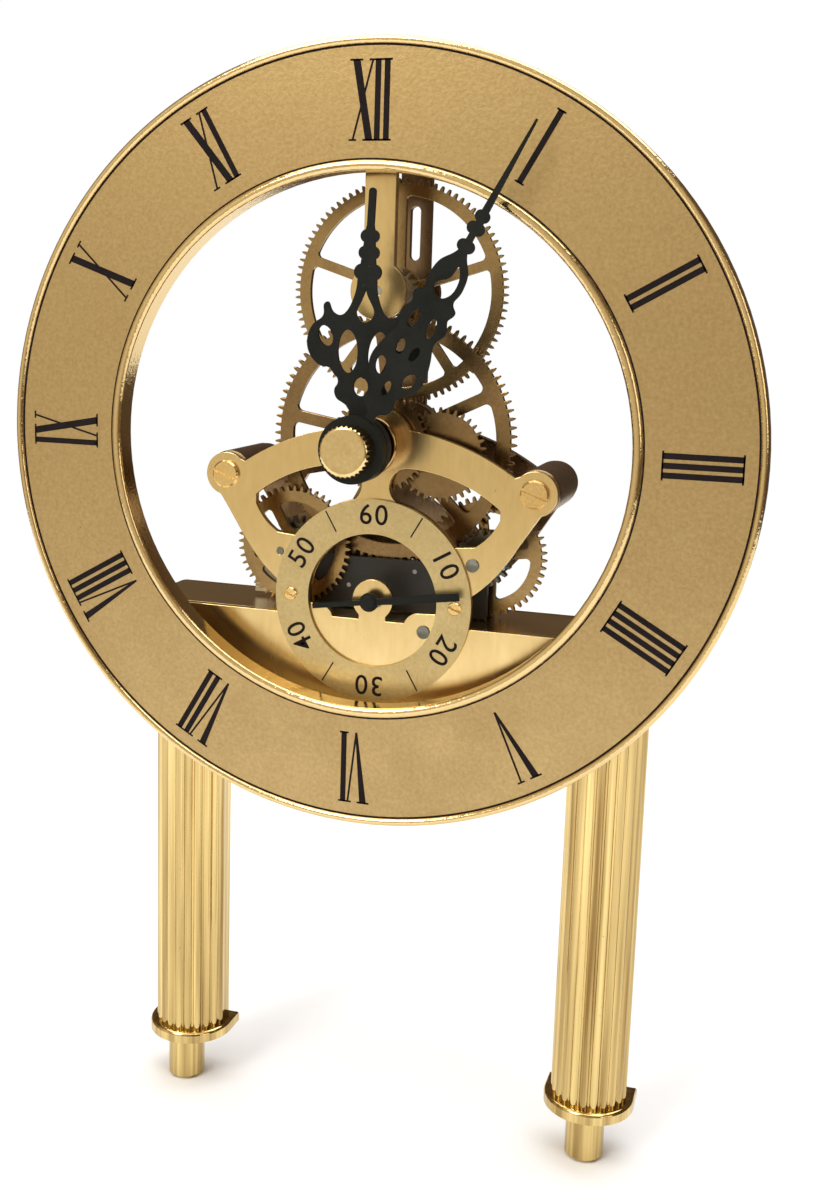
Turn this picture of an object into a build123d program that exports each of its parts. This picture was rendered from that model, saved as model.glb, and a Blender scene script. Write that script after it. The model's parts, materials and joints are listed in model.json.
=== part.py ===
from build123d import *

import os
from math import atan2, cos, degrees, hypot, radians, sin, sqrt

# Skeleton clock on two columns. Millimetres, +Z up, the dial faces -Y.
# The origin is midway between the two spigots, on the underside of their collars.
# Parts in front of or behind the dial are placed by their depth behind the dial's face.

# ---------------------------------------------------------------- driving dimensions
dial_height = 139.8
dial_face_y = -22.0

ring_outer_r = 75.0
ring_inner_r = 51.2
ring_bead_outer_w = 1.5
ring_bead_inner_w = 1.9
ring_bead_rise = 0.7
ring_depth = 4.2
ring_sheet = 1.2

column_spacing = 93.0
column_r = 8.1
column_body_depth = 3.4
column_core_depth = 3.0
reed_count = 11
reed_r = 1.05
collar_margin = 1.5
collar_thickness = 2.4
collar_edge_r = 0.9
spigot_r = 4.1
spigot_length = 10.5
spigot_chamfer = 0.8

housing_side_margin = 8.5
housing_top = -35.6
housing_bottom = -54.0
housing_wall = 1.6
housing_top_corner_r = 4.0
housing_bottom_corner_r = 3.0
housing_rear = 29.4
cover_thickness = 1.4
door_thickness = 1.2
door_width = 58.0
door_overlap = 1.6
door_gap = 0.3
door_centre_x = -8.0
door_rib_count = 5

battery_r = 7.1
battery_length = 49.2
battery_nub_r = 2.7
battery_nub_length = 1.2
contact_thickness = 0.4
contact_gap = 1.4

plate_front = 9.0
plate_thickness = 1.6
rear_plate_front = 29.4
boss_r = 4.4
boss_x = 32.0
boss_z = -8.0
centre_boss_r = 7.2
arc_centre_z = -47.1
arc_upper_r = 50.4
pillar_r = 4.6
pillar_screw_r = 1.2
pillar_screw_head_r = 2.8
pillar_screw_head_h = 0.9
slot_width = 0.6
slot_depth = 0.5

seconds_z = -31.5
seconds_dial_outer_r = 20.5
seconds_dial_inner_r = 13.5
seconds_dial_thickness = 0.7
seconds_screw_x = 17.2
seconds_screw_r = 0.6
seconds_screw_head_r = 1.35
seconds_screw_head_h = 0.5

strip_half_w = 3.1
strip_front = 7.2
strip_thickness = 1.8
strip_boss_r = 5.6
strip_top = 66.0
rear_strip_half_w = 3.3
rear_strip_thickness = 1.6
rear_slot_w = 2.2
rear_strip_screw_x = 4.8
rear_slot_low = 36.0
rear_slot_high = 47.0
strip_spacer_z = 62.5
strip_spacer_r = 3.0
stud_r = 1.6
top_stud_z = 56.5
fascia_stud_x = 42.0
fascia_stud_z = -44.5

bush_r = 5.8
bush_front = 3.4
bush_neck_r = 4.0
arbor_r = 1.5
hour_pipe_r = 2.6
pivot_r = 0.75
fine_pivot_r = 0.45
running_clearance = 0.04

minute_turn = 28.65
hour_turn = 2.2
seconds_turn = 81.5
hand_thickness = 0.6
minute_hub_front = -6.8
minute_hub_rear = -4.3
hour_hub_front = -4.0
hour_hub_rear = -1.6
hand_hub_r = 6.4
minute_hand_length = 67.4
nut_r = 4.9
nut_height = 4.2
nut_edge_r = 0.9
nut_knurls = 32
nut_knurl_r = 0.36
knob_r = 6.0
knob_depth = 5.0
knob_knurls = 30

# ---------------------------------------------------------------- wheel work
tooth_root_share = 0.23
tooth_pitch_share = 0.17
tooth_tip_share = 0.07
tooth_addendum = 0.9
tooth_dedendum = 1.25

centre_teeth = 90
centre_module = 0.56
third_pinion_teeth = 8
third_teeth = 48
seconds_pinion_teeth = 9
top_pinion_teeth = 15
top_teeth = 90
top_module = 0.487
side_pinion_teeth = 19
side_teeth = 48
side_module = 0.5
cannon_teeth = 12
motion_teeth = 36
cannon_module = 0.5
motion_pinion_teeth = 10
hour_teeth = 40
drive_teeth = 54
drive_module = 0.14
inter_pinion_teeth = 9
inter_teeth = 40
inter_module = 0.17
rotor_teeth = 8

hour_wheel_front = 11.2
cannon_front = 12.8
motion_wheel_front = 13.2
motion_pinion_gap = 0.3
left_wheel_front = 16.6
centre_wheel_front = 19.4
top_wheel_front = 21.0
right_wheel_front = 21.6
third_wheel_front = 23.0
drive_wheel_front = 25.4
inter_wheel_front = 27.0
wheel_thickness = 1.2
fine_wheel_thickness = 0.8
pinion_overhang = 0.4

bridge_front = 17.95
bridge_thickness = 1.0
bridge_left = -18.4
bridge_right = 21.4
bridge_top = -24.6
bridge_gap = 0.3
magnet_r = 2.4
magnet_front = 20.8
magnet_length = 2.4
stator_front = 21.6
stator_thickness = 0.8
stator_air_gap = 0.4
coil_r = 2.6
coil_core_r = 0.9
coil_left = -28.8
coil_right = -19.7
coil_depth = 26.0
coil_z = -31.5

# ---------------------------------------------------------------- positions worked out
housing_half_w = column_spacing / 2 + housing_side_margin
plate_rear = plate_front + plate_thickness
motion_pinion_front = plate_rear + motion_pinion_gap
rear_plate_rear = rear_plate_front + plate_thickness
rear_strip_front = rear_plate_rear
REARWARD = (Align.CENTER, Align.CENTER, Align.MAX)


def polar(centre, distance, direction):
    """Point at a distance and direction (degrees, anticlockwise from +X) from a centre."""
    x, z = centre
    return (x + distance * cos(radians(direction)), z + distance * sin(radians(direction)))


def direction(start, end):
    """Direction in degrees from one arbor to another."""
    return degrees(atan2(end[1] - start[1], end[0] - start[0]))


def mesh_distance(teeth_a, teeth_b, module):
    """Distance between the arbors of two meshed wheels."""
    return module * (teeth_a + teeth_b) / 2


def mesh_phase(teeth_a, phase_a, teeth_b, heading):
    """Tooth phase of wheel B, so that it is in mesh with wheel A, which lies behind its heading."""
    offset = ((heading - phase_a) * teeth_a / 360) % 1
    return heading + 180 + (offset + 0.5) * 360 / teeth_b


centre_at = (0.0, 0.0)
seconds_at = (0.0, seconds_z)
third_x = 6.0
third_mesh = mesh_distance(centre_teeth, third_pinion_teeth, centre_module)
third_at = (third_x, -sqrt(third_mesh**2 - third_x**2))
fine_distance = hypot(third_at[0] - seconds_at[0], third_at[1] - seconds_at[1])
fine_module = 2 * fine_distance / (third_teeth + seconds_pinion_teeth)
top_at = (0.0, mesh_distance(centre_teeth, top_pinion_teeth, centre_module))
side_x = 20.0
side_mesh = mesh_distance(centre_teeth, side_pinion_teeth, centre_module)
right_at = (side_x, -sqrt(side_mesh**2 - side_x**2))
left_at = (-side_x, right_at[1])
motion_at = polar(centre_at, mesh_distance(cannon_teeth, motion_teeth, cannon_module), -10.0)
hour_module = cannon_module * (cannon_teeth + motion_teeth) / (motion_pinion_teeth + hour_teeth)
inter_at = polar(seconds_at, mesh_distance(drive_teeth, inter_pinion_teeth, drive_module), 160.0)
rotor_at = polar(inter_at, mesh_distance(inter_teeth, rotor_teeth, inter_module), 190.0)

third_phase = mesh_phase(centre_teeth, 0, third_pinion_teeth, direction(centre_at, third_at))
top_phase = mesh_phase(centre_teeth, 0, top_pinion_teeth, direction(centre_at, top_at))
right_phase = mesh_phase(centre_teeth, 0, side_pinion_teeth, direction(centre_at, right_at))
left_phase = mesh_phase(centre_teeth, 0, side_pinion_teeth, direction(centre_at, left_at))
seconds_pinion_phase = mesh_phase(third_teeth, 0, seconds_pinion_teeth, direction(third_at, seconds_at))
motion_phase = mesh_phase(cannon_teeth, 0, motion_teeth, direction(centre_at, motion_at))
hour_phase = mesh_phase(motion_pinion_teeth, 0, hour_teeth, direction(motion_at, centre_at))
inter_phase = mesh_phase(drive_teeth, 0, inter_pinion_teeth, direction(seconds_at, inter_at))
rotor_phase = mesh_phase(inter_teeth, 0, rotor_teeth, direction(inter_at, rotor_at))


def at(depth, place=(0.0, 0.0), turn=0.0):
    """Plane facing the viewer, at a depth behind the dial's face, turned clockwise by turn degrees."""
    return Plane(
        origin=(place[0], dial_face_y + depth, dial_height + place[1]),
        x_dir=(cos(radians(turn)), 0, -sin(radians(turn))),
        z_dir=(0, -1, 0),
    )


def tooth_outline(teeth, module, phase):
    """Points round a toothed wheel: straight-sided teeth, narrow enough to run with backlash."""
    pitch_r = module * teeth / 2
    root_r = pitch_r - tooth_dedendum * module
    tip_r = pitch_r + tooth_addendum * module
    flank = [(tooth_root_share, root_r), (tooth_pitch_share, pitch_r), (tooth_tip_share, tip_r)]
    profile = [(-share, r) for share, r in flank] + [(share, r) for share, r in reversed(flank)]
    points = []
    for tooth in range(teeth):
        for share, r in profile:
            angle = radians(phase + (tooth + share) * 360 / teeth)
            points.append((r * cos(angle), r * sin(angle)))
    return points


def toothed_sketch(place, depth, teeth, module, phase):
    """Face of a toothed wheel, with no windows."""
    with BuildSketch(at(depth, place)) as face:
        with BuildLine():
            Polyline(tooth_outline(teeth, module, phase), close=True)
        make_face()
    return face.sketch


def wheel_windows(place, depth, rim_r, hub_r, spokes, spoke_w, first_spoke, corner_r):
    """Openings between the spokes of a crossed-out wheel."""
    with BuildSketch(at(depth, place)) as openings:
        Circle(rim_r)
        Circle(hub_r, mode=Mode.SUBTRACT)
        for spoke in range(spokes):
            with Locations(Rotation(0, 0, first_spoke + spoke * 360 / spokes)):
                Rectangle(rim_r * 1.1, spoke_w, align=(Align.MIN, Align.CENTER), mode=Mode.SUBTRACT)
        fillet(openings.vertices(), corner_r)
    return openings.sketch


def finish(piece, name):
    """Labels a finished piece and writes its own file."""
    piece.part.label = name
    export_step(piece.part, f"parts/{name}.step")


def crossed_wheel(name, place, front, teeth, module, phase, rim_w, hub_r, first_spoke, bore_r, spokes=5):
    """A wheel with spokes, pressed on its arbor."""
    rim_r = module * teeth / 2 - tooth_dedendum * module - rim_w
    with BuildPart() as wheel:
        extrude(toothed_sketch(place, front, teeth, module, phase), amount=-wheel_thickness)
        windows = wheel_windows(place, front, rim_r, hub_r, spokes, rim_w * 0.85, first_spoke, rim_w * 0.4)
        extrude(windows, amount=-wheel_thickness, mode=Mode.SUBTRACT)
        with Locations(at(front, place)):
            Cylinder(bore_r, wheel_thickness, align=REARWARD, mode=Mode.SUBTRACT)
    finish(wheel, name)


def solid_wheel(name, place, front, teeth, module, phase, thickness, bore_r):
    """A small wheel with no windows, pressed on its arbor."""
    with BuildPart() as wheel:
        extrude(toothed_sketch(place, front, teeth, module, phase), amount=-thickness)
        with Locations(at(front, place)):
            Cylinder(bore_r, thickness, align=REARWARD, mode=Mode.SUBTRACT)
    finish(wheel, name)


def arbor(name, place, steps, pinions):
    """An arbor of coaxial steps (front, rear, radius), with its pinions (front, rear, teeth, module, phase)."""
    with BuildPart() as shaft:
        for front, rear, radius in steps:
            with Locations(at(front, place)):
                Cylinder(radius, rear - front, align=REARWARD)
        for front, rear, teeth, module, phase in pinions:
            extrude(toothed_sketch(place, front, teeth, module, phase), amount=front - rear)
    finish(shaft, name)


def slotted_screws(name, places, head_front, head_r, head_h, shank_r, shank_rear, slot_turn):
    """Cheese-head screws facing the front, as one group of separate solids."""
    with BuildPart() as screws:
        for place in places:
            with Locations(at(head_front, place)):
                Cylinder(head_r, head_h, align=REARWARD)
            rims = screws.edges().filter_by(GeomType.CIRCLE).group_by(Axis.Y)[0]
            chamfer(rims.filter_by(lambda e: abs(e.radius - head_r) < 1e-6), head_h * 0.35)
            with Locations(at(head_front + head_h, place)):
                Cylinder(shank_r, shank_rear - head_front - head_h, align=REARWARD)
            with Locations(at(head_front, place, slot_turn)):
                Box(head_r * 3, slot_width, slot_depth, align=REARWARD, mode=Mode.SUBTRACT)
    finish(screws, name)


os.makedirs("parts", exist_ok=True)

# ---------------------------------------------------------------- chapter ring
# A thin drawn ring: flat face, a bead round each edge, and both walls turned back.
ring_plane = Plane(origin=(0, dial_face_y, dial_height), x_dir=(1, 0, 0), z_dir=(0, 0, 1))
with BuildPart() as chapter_ring:
    with BuildSketch(ring_plane) as ring_section:
        with Locations((ring_inner_r, 0)):
            Rectangle(ring_outer_r - ring_inner_r, ring_depth, align=(Align.MIN, Align.MIN))
        with Locations((ring_inner_r + ring_bead_inner_w, ring_sheet)):
            pocket_w = ring_outer_r - ring_inner_r - ring_bead_inner_w - ring_bead_outer_w
            Rectangle(pocket_w, ring_depth, align=(Align.MIN, Align.MIN), mode=Mode.SUBTRACT)
        for bead_at, bead_w in (
            (ring_inner_r, ring_bead_inner_w),
            (ring_outer_r - ring_bead_outer_w, ring_bead_outer_w),
        ):
            with Locations((bead_at + bead_w / 2, 0)):
                Ellipse(bead_w / 2, ring_bead_rise)
    revolve(axis=Axis((0, dial_face_y, dial_height), (0, 1, 0)))
finish(chapter_ring, "chapter_ring")

# Studs that hold the ring off the top strip and off the front plate's fascia.
top_stud_at = (0.0, top_stud_z)
with BuildPart() as ring_studs_low:
    for side in (-1, 1):
        with Locations(at(ring_sheet, (side * fascia_stud_x, fascia_stud_z))):
            Cylinder(stud_r, plate_front - ring_sheet, align=REARWARD)
finish(ring_studs_low, "ring_studs_low")
with BuildPart() as ring_stud_top:
    with Locations(at(ring_sheet, top_stud_at)):
        Cylinder(stud_r, strip_front - ring_sheet, align=REARWARD)
finish(ring_stud_top, "ring_stud_top")

# ---------------------------------------------------------------- housing
housing_front = plate_rear
cover_front = housing_rear
door_front = cover_front + cover_thickness
battery_z = (housing_top + housing_bottom) / 2
battery_depth = (housing_front + housing_wall + housing_rear) / 2
bay_half_h = (housing_top - housing_bottom) / 2 - housing_wall
door_height = 2 * bay_half_h - 0.6


def housing_face(depth, inset, grown=0.0):
    """Front outline of the housing, inset from its outer skin by a wall."""
    top = housing_top - inset
    bottom = housing_bottom + inset
    half_w = housing_half_w - inset
    with BuildSketch(at(depth)) as face:
        with Locations((0, (top + bottom) / 2)):
            Rectangle(2 * half_w, top - bottom)
        corners = face.vertices().group_by(Axis.Y)
        fillet(corners[-1], max(housing_top_corner_r - inset, 0.6))
        corners = face.vertices().group_by(Axis.Y)
        fillet(corners[0], max(housing_bottom_corner_r - inset, 0.6))
    return face.sketch


with BuildPart() as housing:
    extrude(housing_face(housing_front, 0), amount=housing_front - housing_rear)
    bay_front = housing_front + housing_wall
    extrude(housing_face(bay_front, housing_wall), amount=bay_front - housing_rear, mode=Mode.SUBTRACT)
    for side in (-1, 1):
        column_screw_y = dial_face_y + battery_depth
        with Locations((side * column_spacing / 2, 0, dial_height + housing_bottom)):
            Cylinder(pillar_screw_r, housing_wall, align=(Align.CENTER, Align.CENTER, Align.MIN),
                     mode=Mode.SUBTRACT)
finish(housing, "housing")

with BuildPart() as housing_cover:
    extrude(housing_face(cover_front, 0), amount=-cover_thickness)
    with BuildSketch(at(cover_front)):
        with Locations((door_centre_x, battery_z)):
            RectangleRounded(door_width - 2 * door_overlap, door_height - 2 * door_overlap, 1.0)
    extrude(amount=-cover_thickness, mode=Mode.SUBTRACT)
finish(housing_cover, "housing_cover")

with BuildPart() as battery_door:
    with BuildSketch(at(door_front + door_gap / 3)):
        with Locations((door_centre_x, battery_z)):
            RectangleRounded(door_width, door_height, 1.5)
    extrude(amount=-door_thickness)
    for rib in range(door_rib_count):
        with BuildSketch(at(door_front + door_gap / 3 + door_thickness)):
            with Locations((door_centre_x, battery_z + (rib - (door_rib_count - 1) / 2) * 1.6)):
                Rectangle(door_width * 0.3, 0.7)
        extrude(amount=-0.5)
finish(battery_door, "battery_door")

with BuildPart() as battery_cell:
    cell_start = door_centre_x - battery_length / 2
    cell_plane = Plane(
        origin=(cell_start, dial_face_y + battery_depth, dial_height + battery_z), z_dir=(1, 0, 0)
    )
    with BuildSketch(cell_plane):
        Circle(battery_r)
    extrude(amount=battery_length)
    ends = battery_cell.edges().filter_by(GeomType.CIRCLE)
    fillet(ends, 0.7)
    with BuildSketch(cell_plane.offset(battery_length)):
        Circle(battery_nub_r)
    extrude(amount=battery_nub_length)
finish(battery_cell, "battery_cell")

contact_places = {
    "contact_negative": cell_start - contact_thickness - contact_gap,
    "contact_positive": cell_start + battery_length + battery_nub_length,
}
for contact_name, contact_x in contact_places.items():
    with BuildPart() as contact:
        with Locations((contact_x, dial_face_y + battery_depth, dial_height + battery_z)):
            Box(contact_thickness, 9.0, 2 * bay_half_h, align=(Align.MIN, Align.CENTER, Align.CENTER))
        if contact_name == "contact_negative":
            with Locations(
                Location(
                    (contact_x + contact_thickness, dial_face_y + battery_depth, dial_height + battery_z),
                    (0, 90, 0),
                )
            ):
                Cone(3.6, 2.0, contact_gap, align=(Align.CENTER, Align.CENTER, Align.MIN))
    finish(contact, contact_name)

board_left = 26.0
with BuildPart() as circuit_board:
    board_depth = housing_front + housing_wall
    with BuildSketch(at(board_depth + 1.0)):
        with Locations((board_left + 11.0, battery_z)):
            Rectangle(22.0, 2 * bay_half_h - 1.6)
    extrude(amount=-1.0)
    with BuildSketch(at(board_depth + 2.0)):
        with Locations((board_left + 9.0, battery_z)):
            Rectangle(6.0, 6.0)
        with Locations((board_left + 17.0, battery_z)):
            Rectangle(3.0, 8.0)
    extrude(amount=-1.6)
    for post in (-1, 1):
        with Locations(at(board_depth, (board_left + 11.0, battery_z + post * 5.0))):
            Cylinder(0.9, 1.0, align=REARWARD)
finish(circuit_board, "circuit_board")

# ---------------------------------------------------------------- columns and feet
# The section is a half round with convex reeds in front, straight sides and a flat back.
column_top = dial_height + housing_bottom
column_front_y = column_core_depth


def column_outline(x, margin, reeds):
    """Section of a column, grown by a margin, with or without its reeds."""
    with BuildSketch(Plane.XY.offset(collar_thickness if reeds else 0)) as section:
        with Locations((x, column_front_y)):
            core_r = column_r - (reed_r * 0.45 if reeds else 0) + margin
            Circle(core_r)
            Rectangle(2 * core_r, core_r * 2, align=(Align.CENTER, Align.MIN))
        back = column_front_y + column_body_depth + margin
        with Locations((x, back)):
            Rectangle(4 * column_r, 4 * column_r, align=(Align.CENTER, Align.MIN), mode=Mode.SUBTRACT)
        if reeds:
            for reed in range(reed_count):
                angle = radians(180 + (reed + 0.5) * 180 / reed_count)
                ring = column_r - reed_r
                with Locations((x + ring * cos(angle), column_front_y + ring * sin(angle))):
                    Circle(reed_r)
    return section.sketch


for side_name, side in (("left", -1), ("right", 1)):
    column_x = side * column_spacing / 2
    with BuildPart() as column:
        extrude(column_outline(column_x, 0, True), amount=column_top - collar_thickness)
        with Locations((column_x, 0, column_top)):
            Cylinder(pillar_screw_r, 14.0, align=(Align.CENTER, Align.CENTER, Align.MAX),
                     mode=Mode.SUBTRACT)
    finish(column, f"column_{side_name}")
    with BuildPart() as foot:
        extrude(column_outline(column_x, collar_margin, False), amount=collar_thickness)
        fillet(foot.edges().group_by(Axis.Z)[-1], collar_edge_r)
        with Locations((column_x, 0, 0)):
            Cylinder(spigot_r, spigot_length, align=(Align.CENTER, Align.CENTER, Align.MAX))
        chamfer(foot.edges().group_by(Axis.Z)[0], spigot_chamfer)
    finish(foot, f"foot_{side_name}")

with BuildPart() as column_screws:
    screw_base = dial_height + housing_bottom + housing_wall
    for side in (-1, 1):
        with Locations((side * column_spacing / 2, 0, screw_base)):
            Cylinder(pillar_screw_head_r, pillar_screw_head_h, align=(Align.CENTER, Align.CENTER, Align.MIN))
            Cylinder(pillar_screw_r, housing_wall + 12.0, align=(Align.CENTER, Align.CENTER, Align.MAX))
finish(column_screws, "column_screws")

# ---------------------------------------------------------------- plates
motion_stud_r = 0.8
side_bosses = [(-boss_x, boss_z), (boss_x, boss_z)]


def plate_arms(depth, pierced):
    """Outline of a movement plate: arched band, two side arms, seconds ring and stem."""
    with BuildSketch(at(depth)) as face:
        Circle(centre_boss_r)
        with Locations(*side_bosses):
            Circle(boss_r)
        with Locations((0, seconds_z)):
            Circle(seconds_dial_outer_r - 0.2)
        for side in (-1, 1):
            with BuildLine():
                upper_end = (28.0 * side, arc_centre_z + sqrt(arc_upper_r**2 - 28.0**2))
                upper_mid = (14.0 * side, arc_centre_z + sqrt(arc_upper_r**2 - 14.0**2))
                ThreePointArc((0, arc_centre_z + arc_upper_r), upper_mid, upper_end)
                Line(upper_end, (boss_x * side, boss_z + boss_r))
                Line((boss_x * side, boss_z + boss_r), (33.3 * side, -12.2))
                Spline((33.3 * side, -12.2), (30.1 * side, -17.1), (26.2 * side, -23.0),
                       (20.3 * side, -29.0))
                Line((20.3 * side, -29.0), (0, -29.0))
                Line((0, -29.0), (0, arc_centre_z + arc_upper_r))
            make_face()
            if pierced:
                with BuildLine():
                    ThreePointArc((6.6 * side, -4.6), (15.5 * side, -6.2), (25.4 * side, -11.6))
                    Line((25.4 * side, -11.6), (25.4 * side, -13.6))
                    Spline((25.4 * side, -13.6), (23.2 * side, -17.0), (20.6 * side, -19.2))
                    Line((20.6 * side, -19.2), (16.6 * side, -19.6))
                    ThreePointArc((16.6 * side, -19.6), (11.4 * side, -14.4), (4.3 * side, -11.4))
                    ThreePointArc((4.3 * side, -11.4), (2.9 * side, -9.0), (6.6 * side, -4.6))
                make_face(mode=Mode.SUBTRACT)
    return face.sketch


with BuildPart() as front_plate:
    extrude(plate_arms(plate_front, True), amount=-plate_thickness)
    with BuildSketch(at(plate_front)):
        with Locations((0, seconds_z)):
            Circle(seconds_dial_inner_r)
    extrude(amount=-plate_thickness, mode=Mode.SUBTRACT)
    extrude(housing_face(plate_front, 0), amount=-plate_thickness)
    with BuildSketch(at(plate_front)) as seconds_arch:
        with Locations((0, seconds_z)):
            Circle(4.2)
        with Locations((0, seconds_z - 2.0)):
            Rectangle(5.6, 6.0, align=(Align.CENTER, Align.CENTER))
        with BuildLine():
            Line((-13.2, -33.2), (-10.6, -33.4))
            ThreePointArc((-10.6, -33.4), (-9.2, -34.2), (-8.4, -36.2))
            Line((-8.4, -36.2), (-13.2, -36.2))
            Line((-13.2, -36.2), (-13.2, -33.2))
        make_face()
        with BuildLine():
            Line((13.2, -33.2), (9.0, -33.4))
            ThreePointArc((9.0, -33.4), (7.4, -34.4), (6.6, -36.2))
            Line((6.6, -36.2), (13.2, -36.2))
            Line((13.2, -36.2), (13.2, -33.2))
        make_face()
    extrude(amount=-plate_thickness)
    holes = [
        (centre_at, bush_neck_r),
        (seconds_at, pivot_r + running_clearance),
        (left_at, pivot_r + running_clearance),
        (right_at, pivot_r + running_clearance),
        ((-seconds_screw_x, seconds_z), seconds_screw_r),
        ((seconds_screw_x, seconds_z), seconds_screw_r),
        (side_bosses[0], pillar_screw_r),
        (side_bosses[1], pillar_screw_r),
    ]
    for hole_at, hole_r in holes:
        with Locations(at(plate_front, hole_at)):
            Cylinder(hole_r, plate_thickness, align=REARWARD, mode=Mode.SUBTRACT)
finish(front_plate, "front_plate")

rear_pivots = [
    (centre_at, arbor_r),
    (seconds_at, pivot_r),
    (left_at, pivot_r),
    (right_at, pivot_r),
    (third_at, fine_pivot_r),
    (inter_at, fine_pivot_r),
    (rotor_at, fine_pivot_r),
]
with BuildPart() as rear_plate:
    extrude(plate_arms(rear_plate_front, False), amount=-plate_thickness)
    with BuildSketch(at(rear_plate_front)):
        for side in (-1, 1):
            with BuildLine():
                Line((5.0 * side, -6.0), (22.0 * side, -9.6))
                Line((22.0 * side, -9.6), (24.6 * side, -13.6))
                Line((24.6 * side, -13.6), (21.0 * side, -18.8))
                Line((21.0 * side, -18.8), (14.6 * side, -19.0))
                Line((14.6 * side, -19.0), (5.0 * side, -12.8))
                Line((5.0 * side, -12.8), (5.0 * side, -6.0))
            make_face()
    extrude(amount=-plate_thickness, mode=Mode.SUBTRACT)
    with BuildSketch(at(rear_plate_front)):
        with Locations((0, housing_top + 0.02)):
            Rectangle(6 * seconds_dial_outer_r, 4 * seconds_dial_outer_r, align=(Align.CENTER, Align.MAX))
    extrude(amount=-plate_thickness, mode=Mode.SUBTRACT)
    for side in (-1, 1):
        with Locations(at(rear_plate_front, (side * rear_strip_screw_x, 0.0))):
            Cylinder(seconds_screw_r, plate_thickness, align=REARWARD, mode=Mode.SUBTRACT)
    for pivot_at, radius in rear_pivots:
        with Locations(at(rear_plate_front, pivot_at)):
            Cylinder(radius + running_clearance, plate_thickness, align=REARWARD, mode=Mode.SUBTRACT)
    with Locations(*[at(rear_plate_front, place) for place in side_bosses]):
        Cylinder(pillar_screw_r, plate_thickness, align=REARWARD, mode=Mode.SUBTRACT)
finish(rear_plate, "rear_plate")

for side_name, place in zip(("left", "right"), side_bosses):
    with BuildPart() as pillar:
        with Locations(at(plate_rear, place)):
            Cylinder(pillar_r, rear_plate_front - plate_rear, align=REARWARD)
            Cylinder(pillar_screw_r, rear_plate_front - plate_rear, align=REARWARD, mode=Mode.SUBTRACT)
        fillet(pillar.edges().filter_by(lambda e: e.geom_type == GeomType.CIRCLE and e.radius > 4), 0.5)
    finish(pillar, f"pillar_{side_name}")

screw_reach = 6.0
slotted_screws("pillar_screws", side_bosses, plate_front - pillar_screw_head_h, pillar_screw_head_r,
               pillar_screw_head_h, pillar_screw_r, plate_rear + screw_reach, 20.0)
with BuildPart() as rear_screws:
    for place in side_bosses:
        with Locations(at(rear_plate_front - screw_reach, place)):
            Cylinder(pillar_screw_r, screw_reach + plate_thickness, align=REARWARD)
        with Locations(at(rear_plate_rear, place)):
            Cylinder(pillar_screw_head_r, pillar_screw_head_h, align=REARWARD)
        with Locations(at(rear_plate_rear + pillar_screw_head_h - slot_depth, place)):
            Box(pillar_screw_head_r * 3, slot_width, slot_depth, align=REARWARD, mode=Mode.SUBTRACT)
finish(rear_screws, "rear_screws")

# ---------------------------------------------------------------- strips that hold the top wheel
with BuildPart() as top_strip:
    with BuildSketch(at(strip_front)):
        Rectangle(2 * strip_half_w, strip_top, align=(Align.CENTER, Align.MIN))
        Rectangle(4 * strip_half_w, top_at[1], align=(Align.CENTER, Align.MIN), mode=Mode.SUBTRACT)
        with Locations(top_at):
            Circle(strip_boss_r)
    extrude(amount=-strip_thickness)
    with Locations(at(strip_front, top_at)):
        Cylinder(pivot_r + running_clearance, strip_thickness, align=REARWARD, mode=Mode.SUBTRACT)
    with Locations(at(strip_front, (0.0, strip_spacer_z))):
        Cylinder(pillar_screw_r, strip_thickness, align=REARWARD, mode=Mode.SUBTRACT)
finish(top_strip, "top_strip")

rear_strip_low = -4.0
with BuildPart() as rear_strip:
    with BuildSketch(at(rear_strip_front)):
        with Locations((0, rear_strip_low)):
            Rectangle(2 * rear_strip_half_w, strip_top - rear_strip_low, align=(Align.CENTER, Align.MIN))
        with Locations((0, (rear_slot_low + rear_slot_high) / 2)):
            SlotOverall(rear_slot_high - rear_slot_low, rear_slot_w, rotation=90, mode=Mode.SUBTRACT)
        with Locations(top_at):
            Circle(strip_boss_r)
            Circle(pivot_r + running_clearance, mode=Mode.SUBTRACT)
        Circle(centre_boss_r)
        Circle(arbor_r + running_clearance, mode=Mode.SUBTRACT)
        with Locations((-rear_strip_screw_x, 0), (rear_strip_screw_x, 0)):
            Circle(seconds_screw_r, mode=Mode.SUBTRACT)
    extrude(amount=-rear_strip_thickness)
    with Locations(at(rear_strip_front, (0.0, strip_spacer_z))):
        Cylinder(pillar_screw_r, rear_strip_thickness, align=REARWARD, mode=Mode.SUBTRACT)
finish(rear_strip, "rear_strip")

with BuildPart() as strip_spacer:
    with Locations(at(strip_front + strip_thickness, (0.0, strip_spacer_z))):
        spacer_length = rear_strip_front - strip_front - strip_thickness
        Cylinder(strip_spacer_r, spacer_length, align=REARWARD)
        Cylinder(pillar_screw_r, spacer_length, align=REARWARD, mode=Mode.SUBTRACT)
finish(strip_spacer, "strip_spacer")

with BuildPart() as strip_screws:
    screw_at = (0.0, strip_spacer_z)
    for head_front, shank_front in (
        (strip_front - pillar_screw_head_h, strip_front),
        (rear_strip_front + rear_strip_thickness, rear_strip_front - screw_reach),
    ):
        with Locations(at(head_front, screw_at)):
            Cylinder(pillar_screw_head_r, pillar_screw_head_h, align=REARWARD)
        with Locations(at(shank_front, screw_at)):
            Cylinder(pillar_screw_r, screw_reach + rear_strip_thickness, align=REARWARD)
    rear_head_rear = rear_strip_front + rear_strip_thickness + pillar_screw_head_h
    for slot_front in (strip_front - pillar_screw_head_h, rear_head_rear - slot_depth):
        with Locations(at(slot_front, screw_at)):
            Box(pillar_screw_head_r * 3, slot_width, slot_depth, align=REARWARD, mode=Mode.SUBTRACT)
finish(strip_screws, "strip_screws")

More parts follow.
